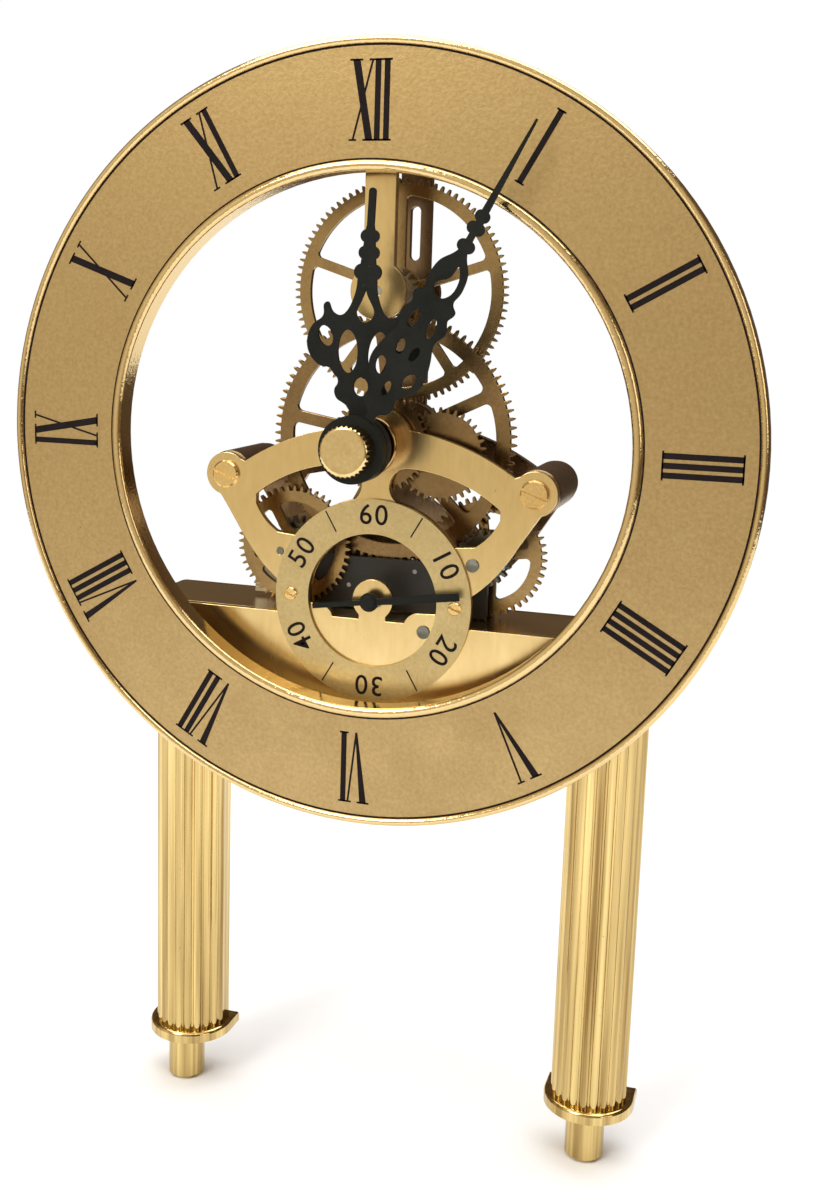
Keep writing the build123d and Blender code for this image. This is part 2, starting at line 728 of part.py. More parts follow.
with BuildPart() as rear_strip_screws:
    for side in (-1, 1):
        place = (side * rear_strip_screw_x, 0.0)
        with Locations(at(rear_plate_front, place)):
            Cylinder(seconds_screw_r, plate_thickness + rear_strip_thickness, align=REARWARD)
        with Locations(at(rear_strip_front + rear_strip_thickness, place)):
            Cylinder(seconds_screw_head_r, seconds_screw_head_h, align=REARWARD)
finish(rear_strip_screws, "rear_strip_screws")

# ---------------------------------------------------------------- seconds dial
with BuildPart() as seconds_dial:
    with BuildSketch(at(plate_front - seconds_dial_thickness)):
        with Locations((0, seconds_z)):
            Circle(seconds_dial_outer_r)
            Circle(seconds_dial_inner_r, mode=Mode.SUBTRACT)
        with Locations((-seconds_screw_x, seconds_z), (seconds_screw_x, seconds_z)):
            Circle(seconds_screw_r, mode=Mode.SUBTRACT)
    extrude(amount=-seconds_dial_thickness)
finish(seconds_dial, "seconds_dial")
slotted_screws("seconds_dial_screws", [(-seconds_screw_x, seconds_z), (seconds_screw_x, seconds_z)],
               plate_front - seconds_dial_thickness - seconds_screw_head_h, seconds_screw_head_r,
               seconds_screw_head_h, seconds_screw_r, plate_rear, 20.0)

# ---------------------------------------------------------------- centre bush
with BuildPart() as centre_bush:
    with Locations(at(bush_front)):
        Cylinder(bush_r, plate_front - bush_front, align=REARWARD)
    fillet(centre_bush.edges().group_by(Axis.Y)[0], 0.5)
    with Locations(at(plate_front)):
        Cylinder(bush_neck_r, plate_thickness, align=REARWARD)
    with Locations(at(bush_front)):
        bush_length = plate_rear - bush_front
        Cylinder(hour_pipe_r + running_clearance, bush_length, align=REARWARD, mode=Mode.SUBTRACT)
finish(centre_bush, "centre_bush")

# ---------------------------------------------------------------- hands
# Pierced serpentine hands, drawn pointing up from their hub and then turned.


def scrolled_hand(depth, turn, edge, tip, beads, windows, split):
    """Symmetric pierced blade: scrolled sides, beads, a tip, windows (centre, radii, lean) and a split."""
    with BuildSketch(Plane.XY) as side:
        with BuildLine():
            Spline(*edge)
            Polyline(edge[-1], (0, edge[-1][1]), (0, edge[0][1]), edge[0])
        make_face()
        mirror(about=Plane.YZ)
        with BuildLine():
            Polyline(*tip, close=True)
        make_face()
        mirror(about=Plane.YZ)
        for along, across, bead_r in beads:
            with Locations((-across, along), (across, along)):
                Circle(bead_r)
            with Locations((0, along)):
                Rectangle(2 * across, 1.6 * bead_r)
        for out, along, half_w, half_h, lean in windows:
            for hand_side in ((1,) if out == 0 else (-1, 1)):
                with Locations(Location((hand_side * out, along, 0), (0, 0, hand_side * lean))):
                    Ellipse(half_w, half_h, mode=Mode.SUBTRACT)
        with BuildLine():
            Spline(*split, periodic=True)
        make_face(mode=Mode.SUBTRACT)
        Circle(hand_hub_r)
    return at(depth, centre_at, turn) * side.sketch


def hour_hand_face(depth):
    """Face of the hour hand: two thin legs under three beads, horned scrolls and pierced ovals."""
    edge = [(1.9, 31.2), (2.1, 29.0), (2.7, 27.1), (3.6, 25.4), (4.7, 24.6), (5.9, 24.8), (6.8, 25.8), (7.5, 26.9),
            (8.1, 26.5), (8.1, 25.0), (8.5, 23.9), (9.6, 23.1), (10.6, 21.8), (11.1, 20.2), (11.1, 18.6),
            (10.5, 17.0), (9.4, 15.7), (7.9, 14.9), (6.4, 14.7), (5.6, 13.8), (4.7, 12.9), (4.6, 11.9),
            (5.1, 11.0), (5.1, 10.0), (4.5, 9.0), (3.4, 8.4), (2.5, 7.8), (2.4, 5.4)]
    tip = [(-0.1, 47.0), (-0.1, 30.8), (1.9, 30.8), (1.25, 36.0), (0.95, 40.0), (0.68, 41.2), (0.68, 47.0)]
    beads = [(39.2, 0.6, 1.2), (36.2, 0.75, 1.25), (32.7, 1.15, 1.5), (47.2, 0.02, 0.66)]
    windows = [(2.95, 18.0, 1.95, 4.0, -4.0), (7.5, 20.6, 1.35, 2.0, -28.0), (0, 11.6, 1.45, 1.75, 0)]
    split = [(0, 29.6), (1.05, 27.1), (1.75, 25.1), (1.1, 24.0), (0, 23.5), (-1.1, 24.0), (-1.75, 25.1),
             (-1.05, 27.1)]
    return scrolled_hand(depth, hour_turn, edge, tip, beads, windows, split)


def minute_hand_face(depth):
    """Face of the minute hand: a long tapered tip, three beads, a leaf, and a narrower scroll than the hour's."""
    edge = [(0.9, 41.6), (1.7, 40.2), (2.8, 38.7), (3.4, 36.4), (3.35, 34.3), (3.1, 33.0), (3.5, 32.3), (4.3, 31.6),
            (4.2, 30.6), (3.8, 29.7), (4.2, 28.7), (4.7, 27.0), (4.0, 25.6), (3.9, 24.0), (4.5, 22.4), (5.2, 20.2),
            (5.6, 18.0), (5.3, 15.9), (4.2, 14.2), (3.1, 13.0), (2.7, 11.8), (3.0, 10.8), (2.8, 9.6), (1.9, 8.8),
            (1.9, 5.6)]
    tip = [(-0.05, minute_hand_length), (-0.1, 41.0), (0.9, 41.0), (0.62, 44.4), (0.66, 50.0), (0.16, minute_hand_length)]
    beads = [(48.6, 0.3, 1.1), (46.2, 0.55, 1.15), (42.7, 0.55, 1.15)]
    windows = [(3.1, 16.6, 1.05, 1.7, -20.0), (1.5, 21.4, 0.8, 1.5, -8.0), (0, 13.4, 0.75, 1.5, 0), (1.9, 27.0, 0.8, 1.9, 6.0)]
    split = [(0.9, 38.9), (1.9, 37.4), (2.25, 35.6), (1.85, 33.7), (0.4, 32.5), (-1.2, 33.1), (-1.6, 34.4),
             (-0.5, 35.7), (0.45, 37.1)]
    return scrolled_hand(depth, minute_turn, edge, tip, beads, windows, split)


with BuildPart() as minute_hand:
    blade_front = (minute_hub_front + minute_hub_rear) / 2 - hand_thickness
    extrude(minute_hand_face(blade_front), amount=-hand_thickness)
    with Locations(at(minute_hub_front)):
        Cylinder(hand_hub_r, minute_hub_rear - minute_hub_front, align=REARWARD)
        Cylinder(arbor_r, minute_hub_rear - minute_hub_front, align=REARWARD, mode=Mode.SUBTRACT)
finish(minute_hand, "minute_hand")

with BuildPart() as hour_hand:
    blade_front = (hour_hub_front + hour_hub_rear) / 2 - hand_thickness / 2
    extrude(hour_hand_face(blade_front), amount=-hand_thickness)
    with Locations(at(hour_hub_front)):
        Cylinder(hand_hub_r, hour_hub_rear - hour_hub_front, align=REARWARD)
        Cylinder(hour_pipe_r, hour_hub_rear - hour_hub_front, align=REARWARD, mode=Mode.SUBTRACT)
finish(hour_hand, "hour_hand")

seconds_hand_front = 6.5
with BuildPart() as seconds_hand:
    with BuildSketch(at(seconds_hand_front, seconds_at, seconds_turn)):
        Circle(1.9)
        with BuildLine():
            Polyline((-0.5, 0), (-0.8, 6.5), (-0.8, 18.6), (0.8, 18.6), (0.8, 6.5), (0.5, 0), close=True)
        make_face()
        with Locations((0, -6.0)):
            Rectangle(1.0, 12.0)
        Circle(pivot_r, mode=Mode.SUBTRACT)
    extrude(amount=-hand_thickness)
finish(seconds_hand, "seconds_hand")

with BuildPart() as hand_nut:
    with Locations(at(minute_hub_front - nut_height)):
        Cylinder(nut_r, nut_height, align=REARWARD)
    fillet(hand_nut.edges().group_by(Axis.Y)[0], nut_edge_r)
    for knurl in range(nut_knurls):
        with Locations(at(minute_hub_front - nut_height, polar(centre_at, nut_r, knurl * 360 / nut_knurls))):
            Cylinder(nut_knurl_r, nut_height, align=REARWARD, mode=Mode.SUBTRACT)
    with Locations(at(minute_hub_front - nut_height + 1.0)):
        Cylinder(arbor_r, nut_height, align=REARWARD, mode=Mode.SUBTRACT)
finish(hand_nut, "hand_nut")

# ---------------------------------------------------------------- centre arbor and motion work
knob_front = rear_strip_front + rear_strip_thickness + 1.0
arbor("centre_arbor", centre_at, [(minute_hub_front - nut_height + 1.0, knob_front + knob_depth, arbor_r)],
      [(cannon_front, cannon_front + 1.8, cannon_teeth, cannon_module, 0)])
crossed_wheel("centre_wheel", centre_at, centre_wheel_front, centre_teeth, centre_module, 0, 2.9, 5.0, 26.0, arbor_r)

with BuildPart() as setting_knob:
    with Locations(at(knob_front)):
        Cylinder(knob_r, knob_depth, align=REARWARD)
    fillet(setting_knob.edges().group_by(Axis.Y)[-1], 0.8)
    for knurl in range(knob_knurls):
        with Locations(at(knob_front, polar(centre_at, knob_r + 0.2, knurl * 360 / knob_knurls))):
            Cylinder(0.45, knob_depth, align=REARWARD, mode=Mode.SUBTRACT)
    with Locations(at(knob_front)):
        Cylinder(arbor_r, knob_depth, align=REARWARD, mode=Mode.SUBTRACT)
finish(setting_knob, "setting_knob")

with BuildPart() as hour_wheel:
    extrude(toothed_sketch(centre_at, hour_wheel_front, hour_teeth, hour_module, hour_phase),
            amount=-fine_wheel_thickness)
    with Locations(at(hour_hub_front)):
        pipe_length = hour_wheel_front + fine_wheel_thickness - hour_hub_front
        Cylinder(hour_pipe_r, pipe_length, align=REARWARD)
        Cylinder(arbor_r + running_clearance, pipe_length, align=REARWARD, mode=Mode.SUBTRACT)
finish(hour_wheel, "hour_wheel")

stud_rear = 15.2
with BuildPart() as motion_stud:
    with Locations(at(plate_rear, motion_at)):
        Cylinder(motion_stud_r, stud_rear - plate_rear, align=REARWARD)
    with Locations(at(stud_rear - 0.5, motion_at)):
        Cylinder(motion_stud_r + 0.7, 0.5, align=REARWARD)
finish(motion_stud, "motion_stud")

with BuildPart() as motion_wheel:
    extrude(toothed_sketch(motion_at, motion_wheel_front, motion_teeth, cannon_module, motion_phase),
            amount=-fine_wheel_thickness)
    pinion_length = motion_wheel_front - motion_pinion_front
    extrude(toothed_sketch(motion_at, motion_pinion_front, motion_pinion_teeth, hour_module, 0),
            amount=-pinion_length)
    with Locations(at(motion_pinion_front, motion_at)):
        Cylinder(motion_stud_r + running_clearance, pinion_length + fine_wheel_thickness, align=REARWARD,
                 mode=Mode.SUBTRACT)
finish(motion_wheel, "motion_wheel")

# ---------------------------------------------------------------- going train
seconds_rear_end = rear_plate_rear - 0.2
solid_wheel("seconds_drive_gear", seconds_at, drive_wheel_front, drive_teeth, drive_module, 0,
            fine_wheel_thickness, pivot_r)
pinion_lap = 0.2
arbor("seconds_arbor", seconds_at,
      [(seconds_hand_front, drive_wheel_front + fine_wheel_thickness, pivot_r),
       (drive_wheel_front + fine_wheel_thickness, seconds_rear_end, fine_pivot_r)],
      [(third_wheel_front - pinion_lap, third_wheel_front + fine_wheel_thickness + pinion_lap,
        seconds_pinion_teeth, fine_module, seconds_pinion_phase)])
solid_wheel("third_wheel", third_at, third_wheel_front, third_teeth, fine_module, 0,
            fine_wheel_thickness, fine_pivot_r)
arbor("third_arbor", third_at, [(bridge_front + 0.1, seconds_rear_end, fine_pivot_r)],
      [(centre_wheel_front - pinion_overhang * 0.8, centre_wheel_front + wheel_thickness + pinion_overhang,
        third_pinion_teeth, centre_module, third_phase)])
arbor("intermediate_wheel", inter_at, [(bridge_front + 0.1, seconds_rear_end, fine_pivot_r)],
      [(drive_wheel_front - 0.3, drive_wheel_front + fine_wheel_thickness + 0.3,
        inter_pinion_teeth, drive_module, inter_phase),
       (inter_wheel_front, inter_wheel_front + fine_wheel_thickness, inter_teeth, inter_module, 0)])
arbor("rotor_arbor", rotor_at, [(bridge_front + 0.1, seconds_rear_end, fine_pivot_r)],
      [(inter_wheel_front - 0.3, inter_wheel_front + fine_wheel_thickness + 0.3,
        rotor_teeth, inter_module, rotor_phase)])
with BuildPart() as rotor_magnet:
    with Locations(at(magnet_front, rotor_at)):
        Cylinder(magnet_r, magnet_length, align=REARWARD)
        Cylinder(fine_pivot_r, magnet_length, align=REARWARD, mode=Mode.SUBTRACT)
finish(rotor_magnet, "rotor_magnet")

# ---------------------------------------------------------------- show wheels
crossed_wheel("top_wheel", top_at, top_wheel_front, top_teeth, top_module, 0, 2.3, 4.8, 18.0, pivot_r)
arbor("top_arbor", top_at, [(strip_front + 0.1, rear_strip_front + rear_strip_thickness - 0.2, pivot_r)],
      [(centre_wheel_front - pinion_overhang, centre_wheel_front + wheel_thickness + pinion_overhang,
        top_pinion_teeth, centre_module, top_phase)])
for side_name, place, wheel_front, phase, first_spoke in (
    ("right", right_at, right_wheel_front, right_phase, 8.0),
    ("left", left_at, left_wheel_front, left_phase, 30.0),
):
    crossed_wheel(f"{side_name}_wheel", place, wheel_front, side_teeth, side_module, 0, 2.2, 3.4, first_spoke,
                  pivot_r, 4)
    arbor(f"{side_name}_arbor", place, [(plate_front - 0.1, rear_plate_rear + 0.2, pivot_r)],
          [(centre_wheel_front - pinion_overhang, centre_wheel_front + wheel_thickness + pinion_overhang,
            side_pinion_teeth, centre_module, phase)])

# ---------------------------------------------------------------- bridge and stepping motor
post_r = 1.0
bridge_posts = [(-13.6, -31.4), (10.5, -34.0)]
with BuildPart() as bridge:
    bridge_bottom = housing_top + bridge_gap
    with BuildSketch(at(bridge_front)) as bridge_face:
        with Locations(((bridge_left + bridge_right) / 2, (bridge_top + bridge_bottom) / 2)):
            Rectangle(bridge_right - bridge_left, bridge_top - bridge_bottom)
        fillet(bridge_face.vertices(), 0.8)
        with Locations(third_at, inter_at, rotor_at):
            Circle(2.4)
            Circle(fine_pivot_r + running_clearance, mode=Mode.SUBTRACT)
        with Locations(seconds_at):
            Circle(pivot_r + 0.25, mode=Mode.SUBTRACT)
        with Locations(right_at):
            Circle(pivot_r + 0.6, mode=Mode.SUBTRACT)
    extrude(amount=-bridge_thickness)
    for place in bridge_posts:
        with Locations(at(bridge_front + bridge_thickness, place)):
            Cylinder(post_r, rear_plate_front - bridge_front - bridge_thickness, align=REARWARD)
finish(bridge, "bridge")

with BuildPart() as stator:
    yoke_right = inter_at[0] + fine_pivot_r + 1.4
    with BuildSketch(at(stator_front)):
        with BuildLine():
            Polyline((coil_left - 1.8, -34.6), (yoke_right, -34.6), (yoke_right, -25.2 - 1.6),
                     (coil_right, -25.2 - 1.6), (coil_left - 1.8, -29.0), close=True)
        make_face()
        with Locations(rotor_at):
            Circle(magnet_r + stator_air_gap, mode=Mode.SUBTRACT)
        with Locations(bridge_posts[0]):
            Circle(post_r + 0.2, mode=Mode.SUBTRACT)
        with Locations(inter_at):
            Circle(fine_pivot_r + 0.25, mode=Mode.SUBTRACT)
    extrude(amount=-stator_thickness)
    block_front = stator_front + stator_thickness
    for block_left in (coil_left - 1.6, coil_right + 0.1):
        with Locations((block_left, dial_face_y + block_front, dial_height + coil_z)):
            Box(1.4, coil_depth + coil_core_r - block_front, 3.0, align=(Align.MIN, Align.MIN, Align.CENTER))
    core_start = coil_left - 1.0
    core_length = coil_right + 1.0 - core_start
    with BuildSketch(Plane(origin=(core_start, dial_face_y + coil_depth, dial_height + coil_z), z_dir=(1, 0, 0))):
        Circle(coil_core_r)
    extrude(amount=core_length)
finish(stator, "stator")

with BuildPart() as coil:
    coil_plane = Plane(origin=(coil_left, dial_face_y + coil_depth, dial_height + coil_z), z_dir=(1, 0, 0))
    coil_length = coil_right - coil_left
    for flange_at in (0.0, coil_length - 0.6):
        with BuildSketch(coil_plane.offset(flange_at)):
            Circle(coil_r)
        extrude(amount=0.6)
    with BuildSketch(coil_plane):
        Circle(coil_r - 0.4)
    extrude(amount=coil_length)
    with BuildSketch(coil_plane):
        Circle(coil_core_r)
    extrude(amount=coil_length, mode=Mode.SUBTRACT)
finish(coil, "coil")
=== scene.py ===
"""Skeleton clock: finishes, dial printing, fine hardware, studio and camera."""

import json
import logging
from dataclasses import dataclass, field
from enum import Enum
from math import cos, pi, radians, sin
from typing import ClassVar

import bmesh
import bpy
from mathutils import Matrix, Vector


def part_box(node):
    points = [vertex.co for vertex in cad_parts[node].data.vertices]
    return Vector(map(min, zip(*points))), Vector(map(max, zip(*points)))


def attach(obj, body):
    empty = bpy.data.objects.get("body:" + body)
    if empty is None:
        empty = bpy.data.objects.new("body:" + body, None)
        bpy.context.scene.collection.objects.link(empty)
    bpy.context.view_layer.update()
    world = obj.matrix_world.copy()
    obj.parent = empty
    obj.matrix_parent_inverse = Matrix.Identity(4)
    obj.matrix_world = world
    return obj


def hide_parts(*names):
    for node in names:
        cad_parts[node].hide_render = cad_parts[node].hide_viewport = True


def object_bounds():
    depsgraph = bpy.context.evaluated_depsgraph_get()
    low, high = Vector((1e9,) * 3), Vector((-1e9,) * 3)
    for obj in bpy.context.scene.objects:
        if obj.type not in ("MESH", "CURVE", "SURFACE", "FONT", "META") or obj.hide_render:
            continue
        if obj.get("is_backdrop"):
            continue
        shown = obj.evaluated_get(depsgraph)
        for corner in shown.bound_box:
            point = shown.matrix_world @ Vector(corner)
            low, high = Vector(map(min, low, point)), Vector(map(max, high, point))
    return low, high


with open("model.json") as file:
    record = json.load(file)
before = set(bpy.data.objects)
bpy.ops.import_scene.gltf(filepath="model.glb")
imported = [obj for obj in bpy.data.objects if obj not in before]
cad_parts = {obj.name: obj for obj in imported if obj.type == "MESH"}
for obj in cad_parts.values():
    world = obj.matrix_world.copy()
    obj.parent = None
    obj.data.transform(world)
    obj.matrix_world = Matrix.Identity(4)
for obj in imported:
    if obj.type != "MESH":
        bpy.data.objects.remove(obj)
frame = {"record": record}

LOG = logging.getLogger("clock")
MM = 0.001
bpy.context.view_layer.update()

COLOUR_MIX_A, COLOUR_MIX_B, COLOUR_MIX_OUT = 6, 7, 2
BUMP_DEPTH = 0.2 * MM
COAT_ROUGHNESS = 0.12

Colour = tuple[float, float, float]
Spot = tuple[float, float, float]
Place = tuple[float, float]


class Node(str, Enum):
    """Shader nodes that the finishes and the world use."""

    PRINCIPLED = "ShaderNodeBsdfPrincipled"
    OUTPUT = "ShaderNodeOutputMaterial"
    COORDS = "ShaderNodeTexCoord"
    MAPPING = "ShaderNodeMapping"
    NOISE = "ShaderNodeTexNoise"
    VORONOI = "ShaderNodeTexVoronoi"
    MIX = "ShaderNodeMix"
    MATH = "ShaderNodeMath"
    VECTOR = "ShaderNodeVectorMath"
    RANGE = "ShaderNodeMapRange"
    BUMP = "ShaderNodeBump"
    GROUP = "ShaderNodeGroup"
    RAMP = "ShaderNodeValToRGB"
    LIGHT_PATH = "ShaderNodeLightPath"
    BACKGROUND = "ShaderNodeBackground"
    SHADER_MIX = "ShaderNodeMixShader"
    WORLD_OUTPUT = "ShaderNodeOutputWorld"


def add_node(tree: bpy.types.NodeTree, kind: Node, **values: object) -> bpy.types.Node:
    """Adds a node and sets its properties and inputs.

    Args:
        tree: Node tree that takes the node.
        kind: Kind of node.
        **values: Properties by attribute name, or inputs by socket name with underscores for spaces.

    Returns:
        The new node.
    """
    node = tree.nodes.new(kind.value)
    for key, value in values.items():
        if hasattr(node, key):
            setattr(node, key, value)
        else:
            node.inputs[key.replace("_", " ")].default_value = value
    return node


def new_group(name: str, inputs: dict[str, tuple[str, object]], outputs: dict[str, str]) -> tuple:
    """Starts a shader node group with named sockets.

    Args:
        name: Name of the group.
        inputs: Socket kind and default by input name.
        outputs: Socket kind by output name.

    Returns:
        The group's tree, its input node and its output node.
    """
    tree = bpy.data.node_groups.new(name, "ShaderNodeTree")
    for label, (kind, default) in inputs.items():
        socket = tree.interface.new_socket(name=label, in_out="INPUT", socket_type=kind)
        if default is not None:
            socket.default_value = default
    for label, kind in outputs.items():
        tree.interface.new_socket(name=label, in_out="OUTPUT", socket_type=kind)
    return tree, tree.nodes.new("NodeGroupInput"), tree.nodes.new("NodeGroupOutput")


def mottle_group() -> bpy.types.NodeTree:
    """Builds the shared tone group: broad patches and fine grain that vary colour, roughness and height.

    Returns:
        The group's tree.
    """
    tree, source, sink = new_group(
        "Tone and grain",
        {
            "Vector": ("NodeSocketVector", None),
            "Light": ("NodeSocketColor", (0.9, 0.7, 0.4, 1.0)),
            "Dark": ("NodeSocketColor", (0.6, 0.4, 0.2, 1.0)),
            "Patch Scale": ("NodeSocketFloat", 60.0),
            "Grain Scale": ("NodeSocketFloat", 1500.0),
            "Grain Share": ("NodeSocketFloat", 0.5),
            "Rough Low": ("NodeSocketFloat", 0.2),
            "Rough High": ("NodeSocketFloat", 0.4),
        },
        {"Color": "NodeSocketColor", "Roughness": "NodeSocketFloat", "Height": "NodeSocketFloat"},
    )
    links = tree.links
    patch = add_node(tree, Node.NOISE, Detail=3.0, Roughness=0.55)
    grain = add_node(tree, Node.NOISE, Detail=2.0, Roughness=0.6)
    blend = add_node(tree, Node.MIX, data_type="FLOAT")
    spread = add_node(tree, Node.RANGE, From_Min=0.32, From_Max=0.68)
    tint = add_node(tree, Node.MIX, data_type="RGBA")
    rough = add_node(tree, Node.RANGE, From_Min=0.3, From_Max=0.7)
    links.new(source.outputs["Vector"], patch.inputs["Vector"])
    links.new(source.outputs["Vector"], grain.inputs["Vector"])
    links.new(source.outputs["Patch Scale"], patch.inputs["Scale"])
    links.new(source.outputs["Grain Scale"], grain.inputs["Scale"])
    links.new(source.outputs["Grain Share"], blend.inputs["Factor"])
    links.new(patch.outputs["Fac"], blend.inputs["A"])
    links.new(grain.outputs["Fac"], blend.inputs["B"])
    links.new(blend.outputs["Result"], spread.inputs["Value"])
    links.new(spread.outputs["Result"], tint.inputs["Factor"])
    links.new(source.outputs["Light"], tint.inputs[COLOUR_MIX_A])
    links.new(source.outputs["Dark"], tint.inputs[COLOUR_MIX_B])
    links.new(patch.outputs["Fac"], rough.inputs["Value"])
    links.new(source.outputs["Rough Low"], rough.inputs["To Min"])
    links.new(source.outputs["Rough High"], rough.inputs["To Max"])
    links.new(tint.outputs[COLOUR_MIX_OUT], sink.inputs["Color"])
    links.new(rough.outputs["Result"], sink.inputs["Roughness"])
    links.new(grain.outputs["Fac"], sink.inputs["Height"])
    return tree


def speck_group() -> bpy.types.NodeTree:
    """Builds the shared speck group: a mask of scattered dust and tiny tarnish spots.

    Returns:
        The group's tree.
    """
    tree, source, sink = new_group(
        "Specks",
        {
            "Vector": ("NodeSocketVector", None),
            "Scale": ("NodeSocketFloat", 400.0),
            "Size": ("NodeSocketFloat", 0.12),
        },
        {"Mask": "NodeSocketFloat"},
    )
    cells = add_node(tree, Node.VORONOI, Randomness=1.0)
    cut = add_node(tree, Node.RANGE, To_Min=1.0, To_Max=0.0)
    thin = add_node(tree, Node.NOISE, Scale=90.0, Detail=1.0)
    gate = add_node(tree, Node.RANGE, From_Min=0.52, From_Max=0.66)
    product = add_node(tree, Node.MATH, operation="MULTIPLY")
    tree.links.new(source.outputs["Vector"], cells.inputs["Vector"])
    tree.links.new(source.outputs["Vector"], thin.inputs["Vector"])
    tree.links.new(source.outputs["Scale"], cells.inputs["Scale"])
    tree.links.new(cells.outputs["Distance"], cut.inputs["Value"])
    tree.links.new(source.outputs["Size"], cut.inputs["From Max"])
    tree.links.new(thin.outputs["Fac"], gate.inputs["Value"])
    tree.links.new(cut.outputs["Result"], product.inputs[0])
    tree.links.new(gate.outputs["Result"], product.inputs[1])
    tree.links.new(product.outputs[0], sink.inputs["Mask"])
    return tree


@dataclass(frozen=True)
class Finish:
    """One surface finish: its tones, its gloss and its grain.

    The stretch scales the pattern along X, Y and Z, so that a small number draws it out along that axis.
    The band is the inner and outer radius of a ring's satin face, in metres. Outside it the rim's tone shows.
    """

    name: str
    light: Colour
    dark: Colour
    metallic: float
    rough: tuple[float, float]
    patch_scale: float = 60.0
    grain_scale: float = 1500.0
    grain_share: float = 0.4
    bump: float = 0.05
    stretch: tuple[float, float, float] = (1.0, 1.0, 1.0)
    speck: Colour = (0.20, 0.13, 0.06)
    speck_scale: float = 500.0
    speck_size: float = 0.10
    coat: float = 0.0
    specular: float = 0.5
    band: tuple[float, float] | None = None
    rim_tone: Colour = (0.72, 0.54, 0.26)
    rim_rough: float = 0.12

    def build(self, tone: bpy.types.NodeTree, specks: bpy.types.NodeTree) -> bpy.types.Material:
        """Makes the material.

        Args:
            tone: Shared tone and grain group.
            specks: Shared speck group.

        Returns:
            The material, with its nodes.
        """
        material = bpy.data.materials.new(self.name)
        material.use_nodes = True
        tree = material.node_tree
        tree.nodes.clear()
        links = tree.links
        coords = add_node(tree, Node.COORDS)
        mapping = add_node(tree, Node.MAPPING, Scale=self.stretch)
        group = add_node(
            tree, Node.GROUP, node_tree=tone, Light=(*self.light, 1.0), Dark=(*self.dark, 1.0),
            Patch_Scale=self.patch_scale, Grain_Scale=self.grain_scale, Grain_Share=self.grain_share,
            Rough_Low=self.rough[0], Rough_High=self.rough[1],
        )
        spots = add_node(tree, Node.GROUP, node_tree=specks, Scale=self.speck_scale, Size=self.speck_size)
        paint = add_node(tree, Node.MIX, data_type="RGBA")
        bump = add_node(tree, Node.BUMP, Strength=self.bump, Distance=BUMP_DEPTH)
        shader = add_node(tree, Node.PRINCIPLED, Metallic=self.metallic, Coat_Weight=self.coat,
                          Coat_Roughness=COAT_ROUGHNESS, Specular_IOR_Level=self.specular)
        output = add_node(tree, Node.OUTPUT)
        links.new(coords.outputs["Object"], mapping.inputs["Vector"])
        links.new(mapping.outputs["Vector"], group.inputs["Vector"])
        links.new(coords.outputs["Object"], spots.inputs["Vector"])
        links.new(spots.outputs["Mask"], paint.inputs["Factor"])
        links.new(group.outputs["Color"], paint.inputs[COLOUR_MIX_A])
        paint.inputs[COLOUR_MIX_B].default_value = (*self.speck, 1.0)
        colour, rough = paint.outputs[COLOUR_MIX_OUT], group.outputs["Roughness"]
        if self.band:
            mask = self.band_mask(tree, coords.outputs["Object"])
            tone_mix = add_node(tree, Node.MIX, data_type="RGBA")
            rough_mix = add_node(tree, Node.MIX, data_type="FLOAT", A=self.rim_rough)
            tone_mix.inputs[COLOUR_MIX_A].default_value = (*self.rim_tone, 1.0)
            links.new(mask, tone_mix.inputs["Factor"])
            links.new(mask, rough_mix.inputs["Factor"])
            links.new(colour, tone_mix.inputs[COLOUR_MIX_B])
            links.new(rough, rough_mix.inputs["B"])
            colour, rough = tone_mix.outputs[COLOUR_MIX_OUT], rough_mix.outputs["Result"]
        links.new(colour, shader.inputs["Base Color"])
        links.new(rough, shader.inputs["Roughness"])
        links.new(group.outputs["Height"], bump.inputs["Height"])
        links.new(bump.outputs["Normal"], shader.inputs["Normal"])
        links.new(shader.outputs["BSDF"], output.inputs["Surface"])
        return material

    def band_mask(self, tree: bpy.types.NodeTree, place: bpy.types.NodeSocket) -> bpy.types.NodeSocket:
        """Masks the band of a ring that faces the dial's front, round the ring's own axis.

        Args:
            tree: Node tree of the material.
            place: Object coordinates.

        Returns:
            Socket that is one inside the band and nought on the polished edges.
        """
        low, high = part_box("chapter_ring")
        middle = [-(low[axis] + high[axis]) / 2 for axis in range(3)]
        flat = add_node(tree, Node.MAPPING, Location=(middle[0], 0.0, middle[2]), Scale=(1.0, 0.0, 1.0))
        reach = add_node(tree, Node.VECTOR, operation="LENGTH")
        inside = add_node(tree, Node.MATH, operation="COMPARE")
        inside.inputs[1].default_value = (self.band[0] + self.band[1]) / 2
        inside.inputs[2].default_value = (self.band[1] - self.band[0]) / 2
        tree.links.new(place, flat.inputs["Vector"])
        tree.links.new(flat.outputs["Vector"], reach.inputs[0])
        tree.links.new(reach.outputs["Value"], inside.inputs[0])
        return inside.outputs[0]


